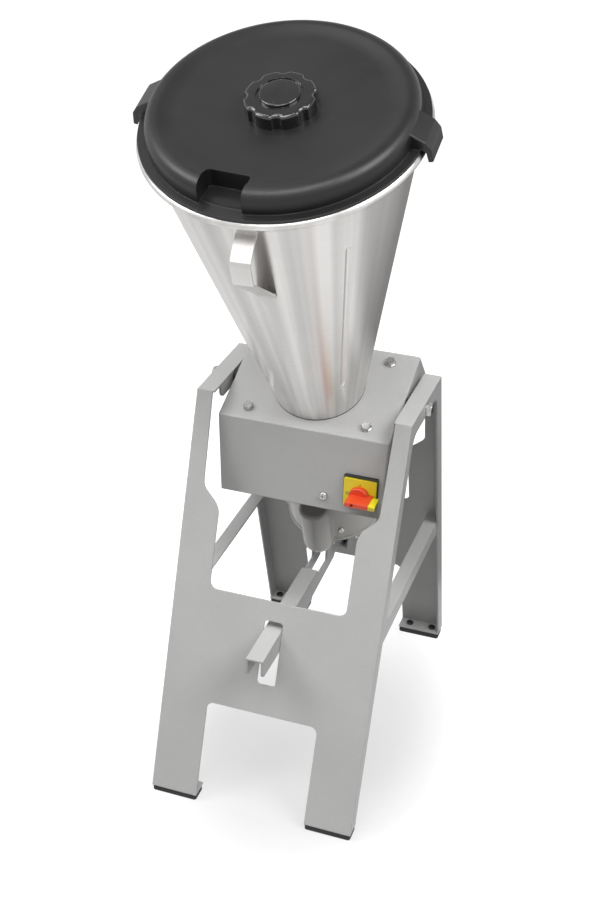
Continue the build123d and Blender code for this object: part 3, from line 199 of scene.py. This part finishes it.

# %% [markdown]
# ## Brushed stainless steel
#
# The jar is rolled from stainless sheet and polished while it turns, so its fine lines run round the
# cone.  Such lines smear every reflection across themselves, up and down the jar, which is why it shows
# long upright bands.  The shader has a setting for this, Anisotropic, and its Tangent is the direction
# of the smear, here the jar's own axis.  The lines are noise stretched round the cone.  A second noise
# that depends only on the direction from the axis paints broad upright bands, lighter and darker, into
# the steel's colour and gloss: a painted reflection of the studio's light and dark.

# %% Brushed stainless
RING_STRETCH = 0.02  # the lines are drawn fifty times as long round the cone as along it
# The broad bands are painted reflection: lighter and darker upright stripes in the steel's colour
PAINTED_BANDS_ROUND = 4.5
PAINTED_BAND_SHARE = 0.9  # bands show this much more than single lines do
BAND_SPREAD = 0.16


def brushed_steel(name, light, dark, roughness, grain):
    """Steel with lines round the jar's axis, grain metres apart, and a painted reflection of broad upright
    stripes.
    """
    material, tree, place = new_material(name)
    own = add(tree, "ShaderNodeMapping", {"Vector": place, "Location": PIVOT, "Rotation": (TILT, 0, 0)},
              vector_type="TEXTURE").outputs[0]
    flat = add(tree, "ShaderNodeMapping", {"Vector": own, "Scale": (RING_STRETCH, RING_STRETCH, 1.0)})
    lines = add(tree, "ShaderNodeTexNoise", {"Vector": flat.outputs[0], "Scale": 1 / grain, "Detail": 4.0})
    # Painted reflection: broad upright stripes of lighter and darker colour, by the direction round the axis
    outward = add(tree, "ShaderNodeVectorMath", {0: own, 1: (1.0, 1.0, 0.0)}, operation="MULTIPLY")
    outward = add(tree, "ShaderNodeVectorMath", {0: outward.outputs[0]}, operation="NORMALIZE")
    bands = add(tree, "ShaderNodeTexNoise", {"Vector": outward.outputs[0], "Scale": PAINTED_BANDS_ROUND,
                                             "Detail": 3.0})
    both = add(tree, "ShaderNodeMix", {0: PAINTED_BAND_SHARE, 2: lines.outputs["Fac"], 3: bands.outputs["Fac"]})
    share = add(tree, "ShaderNodeMapRange", {"Value": both.outputs[0], "From Min": 0.5 - BAND_SPREAD,
                                             "From Max": 0.5 + BAND_SPREAD})
    tint = add(tree, "ShaderNodeMix", {0: share.outputs["Result"], 6: linear(dark), 7: linear(light)},
               data_type="RGBA")
    gloss = add(tree, "ShaderNodeMapRange", {"Value": both.outputs[0], "From Min": 0.35, "From Max": 0.65,
                                             "To Min": roughness + 0.04, "To Max": roughness - 0.04})
    smear = add(tree, "ShaderNodeCombineXYZ", {"X": JAR_AXIS.x, "Y": JAR_AXIS.y, "Z": JAR_AXIS.z})
    shader = add(tree, "ShaderNodeBsdfPrincipled", {
        "Base Color": tint.outputs[2], "Metallic": 1.0, "Roughness": gloss.outputs["Result"],
        "Anisotropic": 0.75, "Tangent": smear.outputs[0]})
    finish_surface(tree, shader, lines.outputs["Fac"], 0.00002, 0.06)
    return material


finishes["jar_steel"] = brushed_steel("stainless_brushed_sheet", "#e5e3e1", "#bfbdbb", 0.34, 0.0014)
finishes["blade_steel"] = brushed_steel("stainless_ground_blade", "#d8d8d6", "#bdbdbb", 0.22, 0.0008)
print("stainless made")

# %% [markdown]
# ## Zinc plate, spring steel and cast alloy
#
# Bolts and washers are steel with a thin bright zinc plate, which looks cloudy because its crystals are
# uneven.  The spring is oiled steel, darker and smoother.  The motor's end shield is cast aluminium
# with the fine grain of its sand mould, the capacitor's can is drawn aluminium, and the windings are
# enamelled copper wire.  They are one recipe, a metal with a cloud in its colour and its roughness, and
# the size of the cloud tells them apart.

# %% Plated and cast metals
def cloudy_metal(name, light, dark, roughness, grain, depth):
    """A metal whose colour, gloss and surface vary like a cloud; grain and depth are in metres."""
    material, tree, place = new_material(name)
    cloud = add(tree, "ShaderNodeTexNoise", {"Vector": place, "Scale": 1 / grain, "Detail": 5.0})
    tint = add(tree, "ShaderNodeMix", {0: cloud.outputs["Fac"], 6: linear(dark), 7: linear(light)},
               data_type="RGBA")
    gloss = add(tree, "ShaderNodeMapRange", {"Value": cloud.outputs["Fac"], "From Min": 0.3, "From Max": 0.7,
                                             "To Min": roughness - 0.06, "To Max": roughness + 0.08})
    shader = add(tree, "ShaderNodeBsdfPrincipled", {"Base Color": tint.outputs[2], "Metallic": 1.0,
                                                    "Roughness": gloss.outputs["Result"]})
    finish_surface(tree, shader, cloud.outputs["Fac"], depth, 0.4)
    return material


finishes["zinc_steel"] = cloudy_metal("zinc_plated_steel", "#cbcbc9", "#9c9c9b", 0.27, 0.004, 0.00004)
finishes["spring_steel"] = cloudy_metal("spring_steel_oiled", "#9c9c9e", "#6f6f72", 0.3, 0.003, 0.00002)
finishes["cast_alloy"] = cloudy_metal("aluminium_sand_cast", "#c4c4c4", "#a2a2a2", 0.5, 0.0015, 0.0002)
finishes["capacitor_case"] = cloudy_metal("aluminium_drawn_can", "#cfcfd0", "#b5b5b6", 0.3, 0.006, 0.00002)
finishes["winding"] = cloudy_metal("copper_enamelled_wire", "#b86a35", "#8a4420", 0.35, 0.0012, 0.0003)
print("metals made")

# %% [markdown]
# ## Motor enamel
#
# The motor and the cover of its capacitor wear a smooth warm grey enamel, sprayed thin over pressed
# steel.  It is glossier than the powder coat and shows soft waves from the spray gun.

# %% Motor enamel
SPRAY_WAVE, SPRAY_RIPPLE = 0.05, 0.008


def enamel(name, light, dark, roughness):
    """Sprayed enamel: soft waves under a thin clear gloss."""
    material, tree, place = new_material(name)
    wave = add(tree, "ShaderNodeTexNoise", {"Vector": place, "Scale": 1 / SPRAY_WAVE, "Detail": 2.0})
    tint = add(tree, "ShaderNodeMix", {0: wave.outputs["Fac"], 6: linear(dark), 7: linear(light)},
               data_type="RGBA")
    shader = add(tree, "ShaderNodeBsdfPrincipled", {"Base Color": tint.outputs[2], "Roughness": roughness,
                                                    "IOR": 1.5, "Coat Weight": 0.25, "Coat Roughness": 0.15})
    ripple = add(tree, "ShaderNodeTexNoise", {"Vector": place, "Scale": 1 / SPRAY_RIPPLE, "Detail": 1.0})
    finish_surface(tree, shader, ripple.outputs["Fac"], 0.0001, 0.15)
    return material


finishes["motor_paint"] = enamel("enamel_warm_grey", "#bdbcb8", "#b2b1ad", 0.38)
print("enamel made")

# %% [markdown]
# ## Plastics and rubber
#
# The lid is a thick black moulding with a fine spark-eroded texture, so it looks charcoal where light
# rakes across it.  The knob and the switch are smooth, glossy mouldings.  The feet and the buffers are
# rubber, matt and faintly dusty.  All are non-metals with an index of refraction near one and a half;
# the texture's size and the roughness tell them apart.

# %% Moulded plastics and rubber
CLOUD_SIZE = 0.06


def moulded(name, light, dark, roughness, grain, depth, ior=1.5, edge=0.0, coat=0.0):
    """A moulded plastic or rubber; the grain and depth of its texture are in metres."""
    material, tree, place = new_material(name)
    grit = add(tree, "ShaderNodeTexNoise", {"Vector": place, "Scale": 1 / grain, "Detail": 3.0})
    cloud = add(tree, "ShaderNodeTexNoise", {"Vector": place, "Scale": 1 / CLOUD_SIZE, "Detail": 3.0})
    tint = add(tree, "ShaderNodeMix", {0: cloud.outputs["Fac"], 6: linear(dark), 7: linear(light)},
               data_type="RGBA")
    gloss = add(tree, "ShaderNodeMapRange", {"Value": cloud.outputs["Fac"], "From Min": 0.3, "From Max": 0.7,
                                             "To Min": roughness - 0.03, "To Max": roughness + 0.05})
    shader = add(tree, "ShaderNodeBsdfPrincipled", {"Base Color": tint.outputs[2], "Coat Weight": coat,
                                                    "Roughness": gloss.outputs["Result"], "IOR": ior})
    finish_surface(tree, shader, grit.outputs["Fac"], depth, 0.4, edge)
    return material


finishes["lid_black"] = moulded("polypropylene_black_textured", "#1b1b1c", "#0f0f10", 0.4, 0.0022, 0.00008,
                                edge=0.002)
finishes["knob_black"] = moulded("nylon_black_glossy", "#161617", "#101011", 0.12, 0.004, 0.00002, 1.53,
                                 edge=0.0012, coat=0.8)
finishes["nylon"] = moulded("nylon_black_moulded", "#2a2a2b", "#202021", 0.4, 0.002, 0.00004, 1.53)
finishes["switch_black"] = moulded("polycarbonate_black", "#1b1b1b", "#141414", 0.34, 0.002, 0.00003, 1.58)
finishes["switch_yellow"] = moulded("polycarbonate_yellow", "#ecdc2a", "#e2d020", 0.34, 0.002, 0.00003, 1.58)
finishes["switch_red"] = moulded("polycarbonate_orange_red", "#e04a26", "#d4401f", 0.3, 0.002, 0.00003, 1.58)
finishes["black_rubber"] = moulded("rubber_black", "#1f1f1f", "#161616", 0.72, 0.0015, 0.0002, 1.52)
finishes["black_steel"] = moulded("black_oxide_steel", "#232324", "#18181a", 0.38, 0.0012, 0.00005)
print("finishes:", len(finishes))

# %% [markdown]
# ## Dressing the drawn pieces
#
# Every drawn piece names a material slot in the record, so one loop gives each its finish.  A drawn mesh
# is loose triangles, which would show every facet of a cone.  A small Geometry Nodes tree welds the
# triangles and smooths across shallow edges only, which leaves folds and corners crisp.

# %% Weld and smooth tree
SHALLOW = radians(28)
SAME_POINT = 0.000002


def smooth_tree():
    """Welds loose triangles and smooths across edges shallower than a named angle."""
    tree = bpy.data.node_groups.new("weld_and_smooth", "GeometryNodeTree")
    tree.interface.new_socket("Geometry", in_out="INPUT", socket_type="NodeSocketGeometry")
    limit = tree.interface.new_socket("Sharp Angle", in_out="INPUT", socket_type="NodeSocketFloat")
    limit.default_value = SHALLOW
    tree.interface.new_socket("Geometry", in_out="OUTPUT", socket_type="NodeSocketGeometry")
    source = add(tree, "NodeGroupInput")
    weld = add(tree, "GeometryNodeMergeByDistance", {"Geometry": source.outputs["Geometry"],
                                                     "Distance": SAME_POINT})
    faces = add(tree, "GeometryNodeSetShadeSmooth", {"Geometry": weld.outputs[0], "Shade Smooth": True},
                domain="FACE")
    angle = add(tree, "GeometryNodeInputMeshEdgeAngle")
    sharp = add(tree, "FunctionNodeCompare", {0: angle.outputs["Unsigned Angle"],
                                              1: source.outputs["Sharp Angle"]}, operation="GREATER_THAN")
    edges = add(tree, "GeometryNodeSetShadeSmooth", {"Geometry": faces.outputs[0],
                                                     "Selection": sharp.outputs[0], "Shade Smooth": False},
                domain="EDGE")
    add(tree, "NodeGroupOutput", {"Geometry": edges.outputs[0]})
    return tree


weld_and_smooth = smooth_tree()
print("smoothing edges below", round(SHALLOW, 3), "radians")

# %% [markdown]
# The tree stays on each drawn piece as a live modifier, and the piece's own mesh isn't touched.  The
# record says which finish belongs to which piece.

# %% Finish every node
slot_of = {part["node"]: part["material_slot"] for part in frame["record"]["subparts"]}
for name, node in nodes.items():
    node.data.materials.clear()
    node.data.materials.append(finishes[slot_of[name]])
    node.modifiers.new("weld_and_smooth", "NODES").node_group = weld_and_smooth
print("dressed", len(nodes), "nodes")

# %% [markdown]
# ## Weld beads
#
# The side bars are welded to the leaning plates, and the jar has one welded seam up its back.  A weld bead
# is a row of overlapping ripples, one for each beat of the welder's hand.  That is a repeat along a path,
# which suits Geometry Nodes: a plain polyline goes in, is divided at the ripple's pitch, and a flattened
# ball is set on each point, turned along the path with its flat side outward, and varied a little in size.

# %% Ripple tree
RIPPLE_REACH = 0.85  # of the pitch to each side, so that neighbours overlap


def ripple_tree(name):
    """Sets flattened balls along the edges of a mesh: the ripples of a weld."""
    tree = bpy.data.node_groups.new(name, "GeometryNodeTree")
    tree.interface.new_socket("Geometry", in_out="INPUT", socket_type="NodeSocketGeometry")
    for label, value in (("Pitch", 0.0016), ("Width", 0.004), ("Height", 0.0016)):
        tree.interface.new_socket(label, in_out="INPUT", socket_type="NodeSocketFloat").default_value = value
    outward = tree.interface.new_socket("Outward", in_out="INPUT", socket_type="NodeSocketVector")
    outward.default_value = (0, 0, 1)
    tree.interface.new_socket("Seed", in_out="INPUT", socket_type="NodeSocketInt").default_value = 3
    tree.interface.new_socket("Material", in_out="INPUT", socket_type="NodeSocketMaterial")
    tree.interface.new_socket("Geometry", in_out="OUTPUT", socket_type="NodeSocketGeometry")
    source = add(tree, "NodeGroupInput")
    path = add(tree, "GeometryNodeMeshToCurve", {"Mesh": source.outputs["Geometry"]})
    path = add(tree, "GeometryNodeResampleCurve", {"Curve": path.outputs[0],
                                                   "Length": source.outputs["Pitch"]}, mode="LENGTH")
    ball = add(tree, "GeometryNodeMeshIcoSphere", {"Radius": 1.0, "Subdivisions": 2})
    along = add(tree, "FunctionNodeAlignRotationToVector",
                {"Vector": add(tree, "GeometryNodeInputTangent").outputs[0]}, axis="X")
    flat = add(tree, "FunctionNodeAlignRotationToVector",
               {"Rotation": along.outputs[0], "Vector": source.outputs["Outward"]}, axis="Z", pivot_axis="X")
    reach = add(tree, "ShaderNodeMath", {0: source.outputs["Pitch"], 1: RIPPLE_REACH}, operation="MULTIPLY")
    half_width = add(tree, "ShaderNodeMath", {0: source.outputs["Width"], 1: 0.5}, operation="MULTIPLY")
    size = add(tree, "ShaderNodeCombineXYZ", {"X": reach.outputs[0], "Y": half_width.outputs[0],
                                              "Z": source.outputs["Height"]})
    vary = add(tree, "FunctionNodeRandomValue", {"Min": (0.9, 0.85, 0.85), "Max": (1.1, 1.1, 1.1),
                                                 "Seed": source.outputs["Seed"]}, data_type="FLOAT_VECTOR")
    size = add(tree, "ShaderNodeVectorMath", {0: size.outputs[0], 1: vary.outputs[0]}, operation="MULTIPLY")
    row = add(tree, "GeometryNodeInstanceOnPoints", {
        "Points": path.outputs[0], "Instance": ball.outputs["Mesh"], "Rotation": flat.outputs[0],
        "Scale": size.outputs[0]})
    whole = add(tree, "GeometryNodeRealizeInstances", {"Geometry": row.outputs[0]})
    smooth = add(tree, "GeometryNodeSetShadeSmooth", {"Geometry": whole.outputs[0], "Shade Smooth": True})
    painted = add(tree, "GeometryNodeSetMaterial", {"Geometry": smooth.outputs[0],
                                                    "Material": source.outputs["Material"]})
    add(tree, "NodeGroupOutput", {"Geometry": painted.outputs[0]})
    return tree


ripples = ripple_tree("weld_ripples")
print("ripple tree has", len(ripples.nodes), "nodes")

# %% [markdown]
# A tree needs a mesh to start from and leaves its result in a modifier.  The first helper here makes the
# bare lines that it starts from.  The second runs the tree once, keeps the result as a plain mesh with
# nothing live on it, and hangs that on the body that it moves with.

# %% Lines in, piece out
def lines_mesh(name, paths):
    """A mesh of bare edges through each list of points."""
    points, edges = [], []
    for path in paths:
        edges += [(len(points) + i, len(points) + i + 1) for i in range(len(path) - 1)]
        points += [tuple(point) for point in path]
    mesh = bpy.data.meshes.new(name)
    mesh.from_pydata(points, edges, [])
    return mesh


def grown(name, mesh, tree, body, slot, **sizes):
    """Runs a tree on a mesh and keeps the plain result as one piece on a body."""
    seed_object = bpy.data.objects.new(name + "_seed", mesh)
    bpy.context.scene.collection.objects.link(seed_object)
    modifier = seed_object.modifiers.new(tree.name, "NODES")
    modifier.node_group = tree
    for item in tree.interface.items_tree:
        if item.in_out == "INPUT" and item.name in sizes:
            modifier[item.identifier] = sizes[item.name]
        if item.in_out == "INPUT" and item.name == "Material":
            modifier[item.identifier] = finishes[slot]
    evaluated = seed_object.evaluated_get(bpy.context.evaluated_depsgraph_get())
    result = bpy.data.meshes.new_from_object(evaluated)
    result.materials.clear()
    result.materials.append(finishes[slot])
    piece = bpy.data.objects.new(name, result)
    bpy.context.scene.collection.objects.link(piece)
    bpy.data.objects.remove(seed_object)
    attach(piece, body)
    print(name, len(result.polygons), "faces")
    return piece


print("ready to grow pieces")

# %% [markdown]
# A bead is set where two pieces meet.  The side bars end against the plates, and their place comes from
# the drawn pieces' own boxes, so the beads stay in the corners wherever the bars are.  The jar's seam
# follows a straight line of its cone.

# %% Weld the side bars and the jar
BAR_LEG = 0.021
BEAD_INSET = 0.0082  # from the end of a bar's box to the face of the leaning plate
BEAD_LIFT = 0.0004
corner_lines = []
for side in ("left", "right"):
    low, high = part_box(side + "_side_brace")
    outer, inner = (low[0], low[0] + BAR_LEG) if side == "left" else (high[0], high[0] - BAR_LEG)
    for end in (low[1] + BEAD_INSET, high[1] - BEAD_INSET):
        corner_lines.append([Vector((x, end, high[2] + BEAD_LIFT)) for x in (outer, inner)])
grown("bar_weld_beads", lines_mesh("bar_weld_paths", corner_lines), ripples, "frame", "frame_paint",
      Pitch=0.0018, Width=0.0055, Height=0.0022, Seed=5)

CONE_FOOT, CONE_TOP = (0.0661, 0.0131), (0.164, 0.469)  # radius and height of the jar's wall
SEAM_FOOT, SEAM_TOP = 0.015, 0.468


def back_of_jar(height):
    """The point at the back of the jar's wall at a height up its axis."""
    (r0, z0), (r1, z1) = CONE_FOOT, CONE_TOP
    return unit @ Vector((0, r0 + (r1 - r0) * (height - z0) / (z1 - z0), height))


seam = [back_of_jar(SEAM_FOOT), back_of_jar(SEAM_TOP)]
grown("jar_seam_bead", lines_mesh("jar_seam_path", [seam]), ripples,
      "tilting_unit", "jar_steel", Pitch=0.0014, Width=0.0024, Height=0.0005, Seed=8,
      Outward=tuple(unit.to_3x3() @ Vector((0, 1, 0))))

# %% [markdown]
# ## The spring under the foot lever
#
# A compression spring holds the lever up, and it has to shorten when the lever goes down.  The drawn coil
# is stiff, and a coil built here stands in for it.  A coil is a circle carried along a spiral,
# which Geometry Nodes does with two curves and one node.  The box of the drawn spring gives its size.

# %% Coil tree
def coil_tree(name):
    """Sets a coil of round wire upright on each point of a mesh."""
    tree = bpy.data.node_groups.new(name, "GeometryNodeTree")
    tree.interface.new_socket("Geometry", in_out="INPUT", socket_type="NodeSocketGeometry")
    for label, value in (("Wire Radius", 0.001), ("Coil Radius", 0.007), ("Height", 0.03), ("Turns", 6.0)):
        tree.interface.new_socket(label, in_out="INPUT", socket_type="NodeSocketFloat").default_value = value
    tree.interface.new_socket("Material", in_out="INPUT", socket_type="NodeSocketMaterial")
    tree.interface.new_socket("Geometry", in_out="OUTPUT", socket_type="NodeSocketGeometry")
    source = add(tree, "NodeGroupInput")
    spiral = add(tree, "GeometryNodeCurveSpiral", {
        "Resolution": 28, "Rotations": source.outputs["Turns"], "Start Radius": source.outputs["Coil Radius"],
        "End Radius": source.outputs["Coil Radius"], "Height": source.outputs["Height"]})
    wire = add(tree, "GeometryNodeCurvePrimitiveCircle", {"Resolution": 12,
                                                          "Radius": source.outputs["Wire Radius"]})
    coil = add(tree, "GeometryNodeCurveToMesh", {"Curve": spiral.outputs[0], "Profile Curve": wire.outputs[0],
                                                 "Fill Caps": True})
    feet = add(tree, "GeometryNodeMeshToPoints", {"Mesh": source.outputs["Geometry"]})
    placed = add(tree, "GeometryNodeInstanceOnPoints", {"Points": feet.outputs[0],
                                                        "Instance": coil.outputs[0]})
    whole = add(tree, "GeometryNodeRealizeInstances", {"Geometry": placed.outputs[0]})
    smooth = add(tree, "GeometryNodeSetShadeSmooth", {"Geometry": whole.outputs[0], "Shade Smooth": True})
    painted = add(tree, "GeometryNodeSetMaterial", {"Geometry": smooth.outputs[0],
                                                    "Material": source.outputs["Material"]})
    add(tree, "NodeGroupOutput", {"Geometry": painted.outputs[0]})
    return tree


coils = coil_tree("coil")
print("coil tree has", len(coils.nodes), "nodes")

# %% [markdown]
# The coil stands on the box of the drawn one, with its foot at the bottom of that box.

# %% Spring
WIRE_RADIUS = 0.001
TURNS = 6.0
low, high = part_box("pedal_spring")
foot = Vector(((low[0] + high[0]) / 2, (low[1] + high[1]) / 2, low[2] + WIRE_RADIUS))
spring = grown("lever_spring", lines_mesh("spring_foot", [[foot]]), coils, "frame", "spring_steel",
               **{"Wire Radius": WIRE_RADIUS, "Coil Radius": (high[0] - low[0]) / 2 - WIRE_RADIUS,
                  "Height": high[2] - low[2] - 2 * WIRE_RADIUS, "Turns": TURNS})
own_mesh(spring)
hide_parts("pedal_spring")
print("spring", [round(v, 4) for v in low], [round(v, 4) for v in high])

# %% [markdown]
# ## Switch marks
#
# The yellow plate carries two marks that every such switch has, a ring for off and a bar for on.  They are
# printed, so each is a skin a tenth of a millimetre thick, drawn in the plane of the plate.

# %% Switch marks
# The foot and the top of the box's front face, in the tilting axes, and the switch's place down from its top
BOX_LOW_FRONT = Vector((0, -0.1357, -0.0971))
BOX_TOP_FRONT = Vector((0, -0.0834, 0.0116))
SWITCH_RIGHT, SWITCH_DOWN = 0.0915, 0.0846
UP_FACE = (BOX_TOP_FRONT - BOX_LOW_FRONT).normalized()
OUT_OF_FACE = Vector((1, 0, 0)).cross(UP_FACE)
SWITCH_AXIS = BOX_TOP_FRONT + Vector((SWITCH_RIGHT, 0, 0)) - UP_FACE * SWITCH_DOWN
PLATE_HEIGHT = 0.0075  # of the yellow face over the box
INK = 0.0001


def on_plate(x, y, height):
    """A point over the switch plate: x to the right and y up from the switch's axis."""
    return unit @ (SWITCH_AXIS + Vector((x, 0, 0)) + UP_FACE * y + OUT_OF_FACE * height)


def printed(name, outlines, body, slot):
    """Thin closed skins from rings of (outer, inner) plate points."""
    points, faces = [], []
    for outer, inner in outlines:
        count, start = len(outer), len(points)
        for height in (PLATE_HEIGHT, PLATE_HEIGHT + INK):
            points += [on_plate(*p, height) for p in outer] + [on_plate(*p, height) for p in inner]
        for i in range(count):
            j = (i + 1) % count
            a, b, c, d = start + i, start + j, start + count + j, start + count + i
            up = 2 * count
            faces += [(a + up, b + up, c + up, d + up), (d, c, b, a), (a, b, b + up, a + up),
                      (c, d, d + up, c + up)]
    mesh = bpy.data.meshes.new(name)
    mesh.from_pydata([tuple(p) for p in points], [], faces)
    piece = bpy.data.objects.new(name, mesh)
    bpy.context.scene.collection.objects.link(piece)
    mesh.materials.append(finishes[slot])
    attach(piece, body)


def circle(x, y, radius, count=32):
    """Plate points round a circle."""
    turns = [2 * pi * i / count for i in range(count)]
    return [(x + radius * cos(turn), y + radius * sin(turn)) for turn in turns]


def bar_corners(x, y, wide, high):
    """The four corners of an upright bar, from half its width and height."""
    return [(x + wide, y + high), (x - wide, y + high), (x - wide, y - high), (x + wide, y - high)]


OFF_MARK = (-0.0180, 0.0010)
ON_MARK = (0.0, 0.0158)
RING_OUTER, RING_INNER = 0.0023, 0.0016
BAR_OUTER, BAR_INNER = (0.0006, 0.0022), (0.00005, 0.0017)
marks = [(circle(*OFF_MARK, RING_OUTER), circle(*OFF_MARK, RING_INNER)),
         (bar_corners(*ON_MARK, *BAR_OUTER), bar_corners(*ON_MARK, *BAR_INNER))]
printed("switch_marks", marks, "tilting_unit", "switch_black")
print("marks at", OFF_MARK, ON_MARK)

# %% [markdown]
# ## Studio
#
# The photograph was taken on white under large soft lights, high in front and at both sides, in a room
# that is otherwise dim.  So the faces that look up are pale and those that lean down are dark.  The floor
# is a wide sheet of mid grey paper, so it throws little light back up.  A light of its own, which only
# the camera, the reflections and clear things see, lifts it to white.  Under the machine this glow is
# weaker, which paints a soft shadow there over the real one.

# %% Floor and backdrop
def seen_directly(tree):
    """Two sockets: one for a ray from the camera, one for a ray from a reflection or a clear piece."""
    path = add(tree, "ShaderNodeLightPath")
    seen = add(tree, "ShaderNodeMath", {0: path.outputs["Is Glossy Ray"],
                                        1: path.outputs["Is Transmission Ray"]}, operation="MAXIMUM")
    return path.outputs["Is Camera Ray"], seen.outputs[0]


def flat_sheet(name, corners, material):
    """A staged sheet of one face."""
    mesh = bpy.data.meshes.new(name)
    mesh.from_pydata(corners, [], [(0, 1, 2, 3)])
    sheet = bpy.data.objects.new(name, mesh)
    bpy.context.scene.collection.objects.link(sheet)
    mesh.materials.append(material)
    return sheet


SHADE_CENTRE = (0.03, -0.05, 0)
SHADE_REACH = (0.34, 0.5, 1)
FLOOR_REACH = 9
material, tree, place = new_material("paper_grey_sheet_glowing_white_painted_shadow")
camera_ray, mirror_ray = seen_directly(tree)
seen = add(tree, "ShaderNodeMath", {0: camera_ray, 1: mirror_ray}, operation="MAXIMUM")
grain = add(tree, "ShaderNodeTexNoise", {"Vector": place, "Scale": 60.0})
tone = add(tree, "ShaderNodeMix", {0: grain.outputs["Fac"], 6: linear("#8c8c8c"), 7: linear("#909090")},
           data_type="RGBA")
paper = add(tree, "ShaderNodeBsdfDiffuse", {"Color": tone.outputs[2]})
painted_shadow_patch = add(tree, "ShaderNodeMapping", {"Vector": place, "Location": SHADE_CENTRE, "Scale": SHADE_REACH},
            vector_type="TEXTURE")
away = add(tree, "ShaderNodeVectorMath", {0: painted_shadow_patch.outputs[0]}, operation="LENGTH")
# Painted shadow: the glow the camera sees is weaker near the machine, so the floor is darker there
glow_with_painted_light = add(tree, "ShaderNodeMapRange", {"Value": away.outputs["Value"], "From Min": 0.35, "From Max": 1.0,
                                        "To Min": 0.58, "To Max": 1.0}, interpolation_type="SMOOTHSTEP")
# Painted reflection: seen in reflections the floor glows brighter near the machine and dimmer far off
mirrored = add(tree, "ShaderNodeMapRange", {"Value": away.outputs["Value"], "From Min": 0.5, "From Max": 2.5,
                                            "To Min": 0.92, "To Max": 0.66})
glow_with_painted_light = add(tree, "ShaderNodeMix", {0: mirror_ray, 2: glow_with_painted_light.outputs["Result"], 3: mirrored.outputs["Result"]})
glow = add(tree, "ShaderNodeEmission", {"Color": linear("#ffffff"), "Strength": glow_with_painted_light.outputs[0]})
shown = add(tree, "ShaderNodeAddShader", {0: paper.outputs[0], 1: glow.outputs[0]})
mixed = add(tree, "ShaderNodeMixShader", {0: seen.outputs[0], 1: paper.outputs[0], 2: shown.outputs[0]})
add(tree, "ShaderNodeOutputMaterial", {"Surface": mixed.outputs[0]})
flat_sheet("floor", [(-FLOOR_REACH, -FLOOR_REACH, 0), (FLOOR_REACH, -FLOOR_REACH, 0),
                     (FLOOR_REACH, FLOOR_REACH, 0), (-FLOOR_REACH, FLOOR_REACH, 0)], material)
print("floor laid")

# %% [markdown]
# Behind the machine, on the right, stands a black cloth.  Photographers put one there to give polished
# metal a dark edge.  Here it is the dark band along the right side of the jar, and only reflections see it.

# %% Black cloth
material, tree, place = new_material("black_velvet")
nap = add(tree, "ShaderNodeTexNoise", {"Vector": place, "Scale": 200.0})
tone = add(tree, "ShaderNodeMix", {0: nap.outputs["Fac"], 6: linear("#3c3c3c"), 7: linear("#444444")},
           data_type="RGBA")
cloth = add(tree, "ShaderNodeBsdfDiffuse", {"Color": tone.outputs[2]})
add(tree, "ShaderNodeOutputMaterial", {"Surface": cloth.outputs[0]})
CLOTH_WIDTH = 0.8
NEAR_EDGE, FAR_EDGE = (0.45, 0.01), (1.6, 0.9)
velvet = flat_sheet("black_cloth", [(0.0, *NEAR_EDGE), (CLOTH_WIDTH, *NEAR_EDGE),
                                    (CLOTH_WIDTH, *FAR_EDGE), (0.0, *FAR_EDGE)], material)
velvet.visible_camera = False
velvet.visible_diffuse = False
velvet.visible_shadow = False
print("cloth hung")

# %% [markdown]
# The world stands for the room.  Reflections find its walls white and its ceiling dimmer, and the diffuse
# light that it gives is weak, so that the lamps shape the machine.

# %% World
ROOM_LIGHT = 0.13
world = bpy.data.worlds.new("studio_room")
bpy.context.scene.world = world
world.use_nodes = True
tree = world.node_tree
tree.nodes.clear()
camera_ray, mirror_ray = seen_directly(tree)
direction = add(tree, "ShaderNodeSeparateXYZ", {0: add(tree, "ShaderNodeTexCoord").outputs["Generated"]})
ceiling = add(tree, "ShaderNodeMapRange", {"Value": direction.outputs["Z"], "From Min": 0.25,
                                           "From Max": 0.85, "To Min": 1.0, "To Max": 0.4})
mirrored = add(tree, "ShaderNodeMath", {0: mirror_ray, 1: ceiling.outputs["Result"]}, operation="MULTIPLY")
shown = add(tree, "ShaderNodeMath", {0: camera_ray, 1: mirrored.outputs[0]}, operation="MAXIMUM")
strength = add(tree, "ShaderNodeMath", {0: shown.outputs[0], 1: ROOM_LIGHT}, operation="MAXIMUM")
walls = add(tree, "ShaderNodeBackground", {"Color": linear("#ffffff"), "Strength": strength.outputs[0]})
add(tree, "ShaderNodeOutputWorld", {"Surface": walls.outputs[0]})
bpy.context.scene.view_settings.view_transform = "Standard"
print("walls lit")

# %% [markdown]
# Five square soft lights stand round the machine.  Three do the work, high in front and at the sides.  A
# weak one behind keeps the back from going black, and reflections don't see it.  The smallest hangs where
# the glossy knob mirrors it towards the camera.

# %% Soft lights
MIDDLE, KNOB = (0, 0, 0.5), (0, -0.3, 1.1)


def soft_light(name, place, target, size, watts, mirrored=True):
    """A square area light at place, facing target."""
    light = bpy.data.lights.new(name, "AREA")
    light.shape = "RECTANGLE"
    light.size = light.size_y = size
    light.energy = watts
    lamp = bpy.data.objects.new(name, light)
    bpy.context.scene.collection.objects.link(lamp)
    aim = (Vector(target) - Vector(place)).to_track_quat("-Z", "Y")
    lamp.matrix_world = Matrix.Translation(Vector(place)) @ aim.to_matrix().to_4x4()
    lamp.visible_glossy = mirrored


soft_light("front_high", (0.1, -1.7, 3.2), MIDDLE, 1.7, 48)
soft_light("back_high", (-0.4, 2.6, 2.3), MIDDLE, 1.5, 26, mirrored=False)
soft_light("knob_sparkle", (-0.95, 0.1, 3.4), KNOB, 0.5, 4)
soft_light("left_high", (-1.8, -1.0, 2.7), MIDDLE, 1.5, 42)
soft_light("right_high", (1.8, -0.6, 2.6), MIDDLE, 1.5, 50)
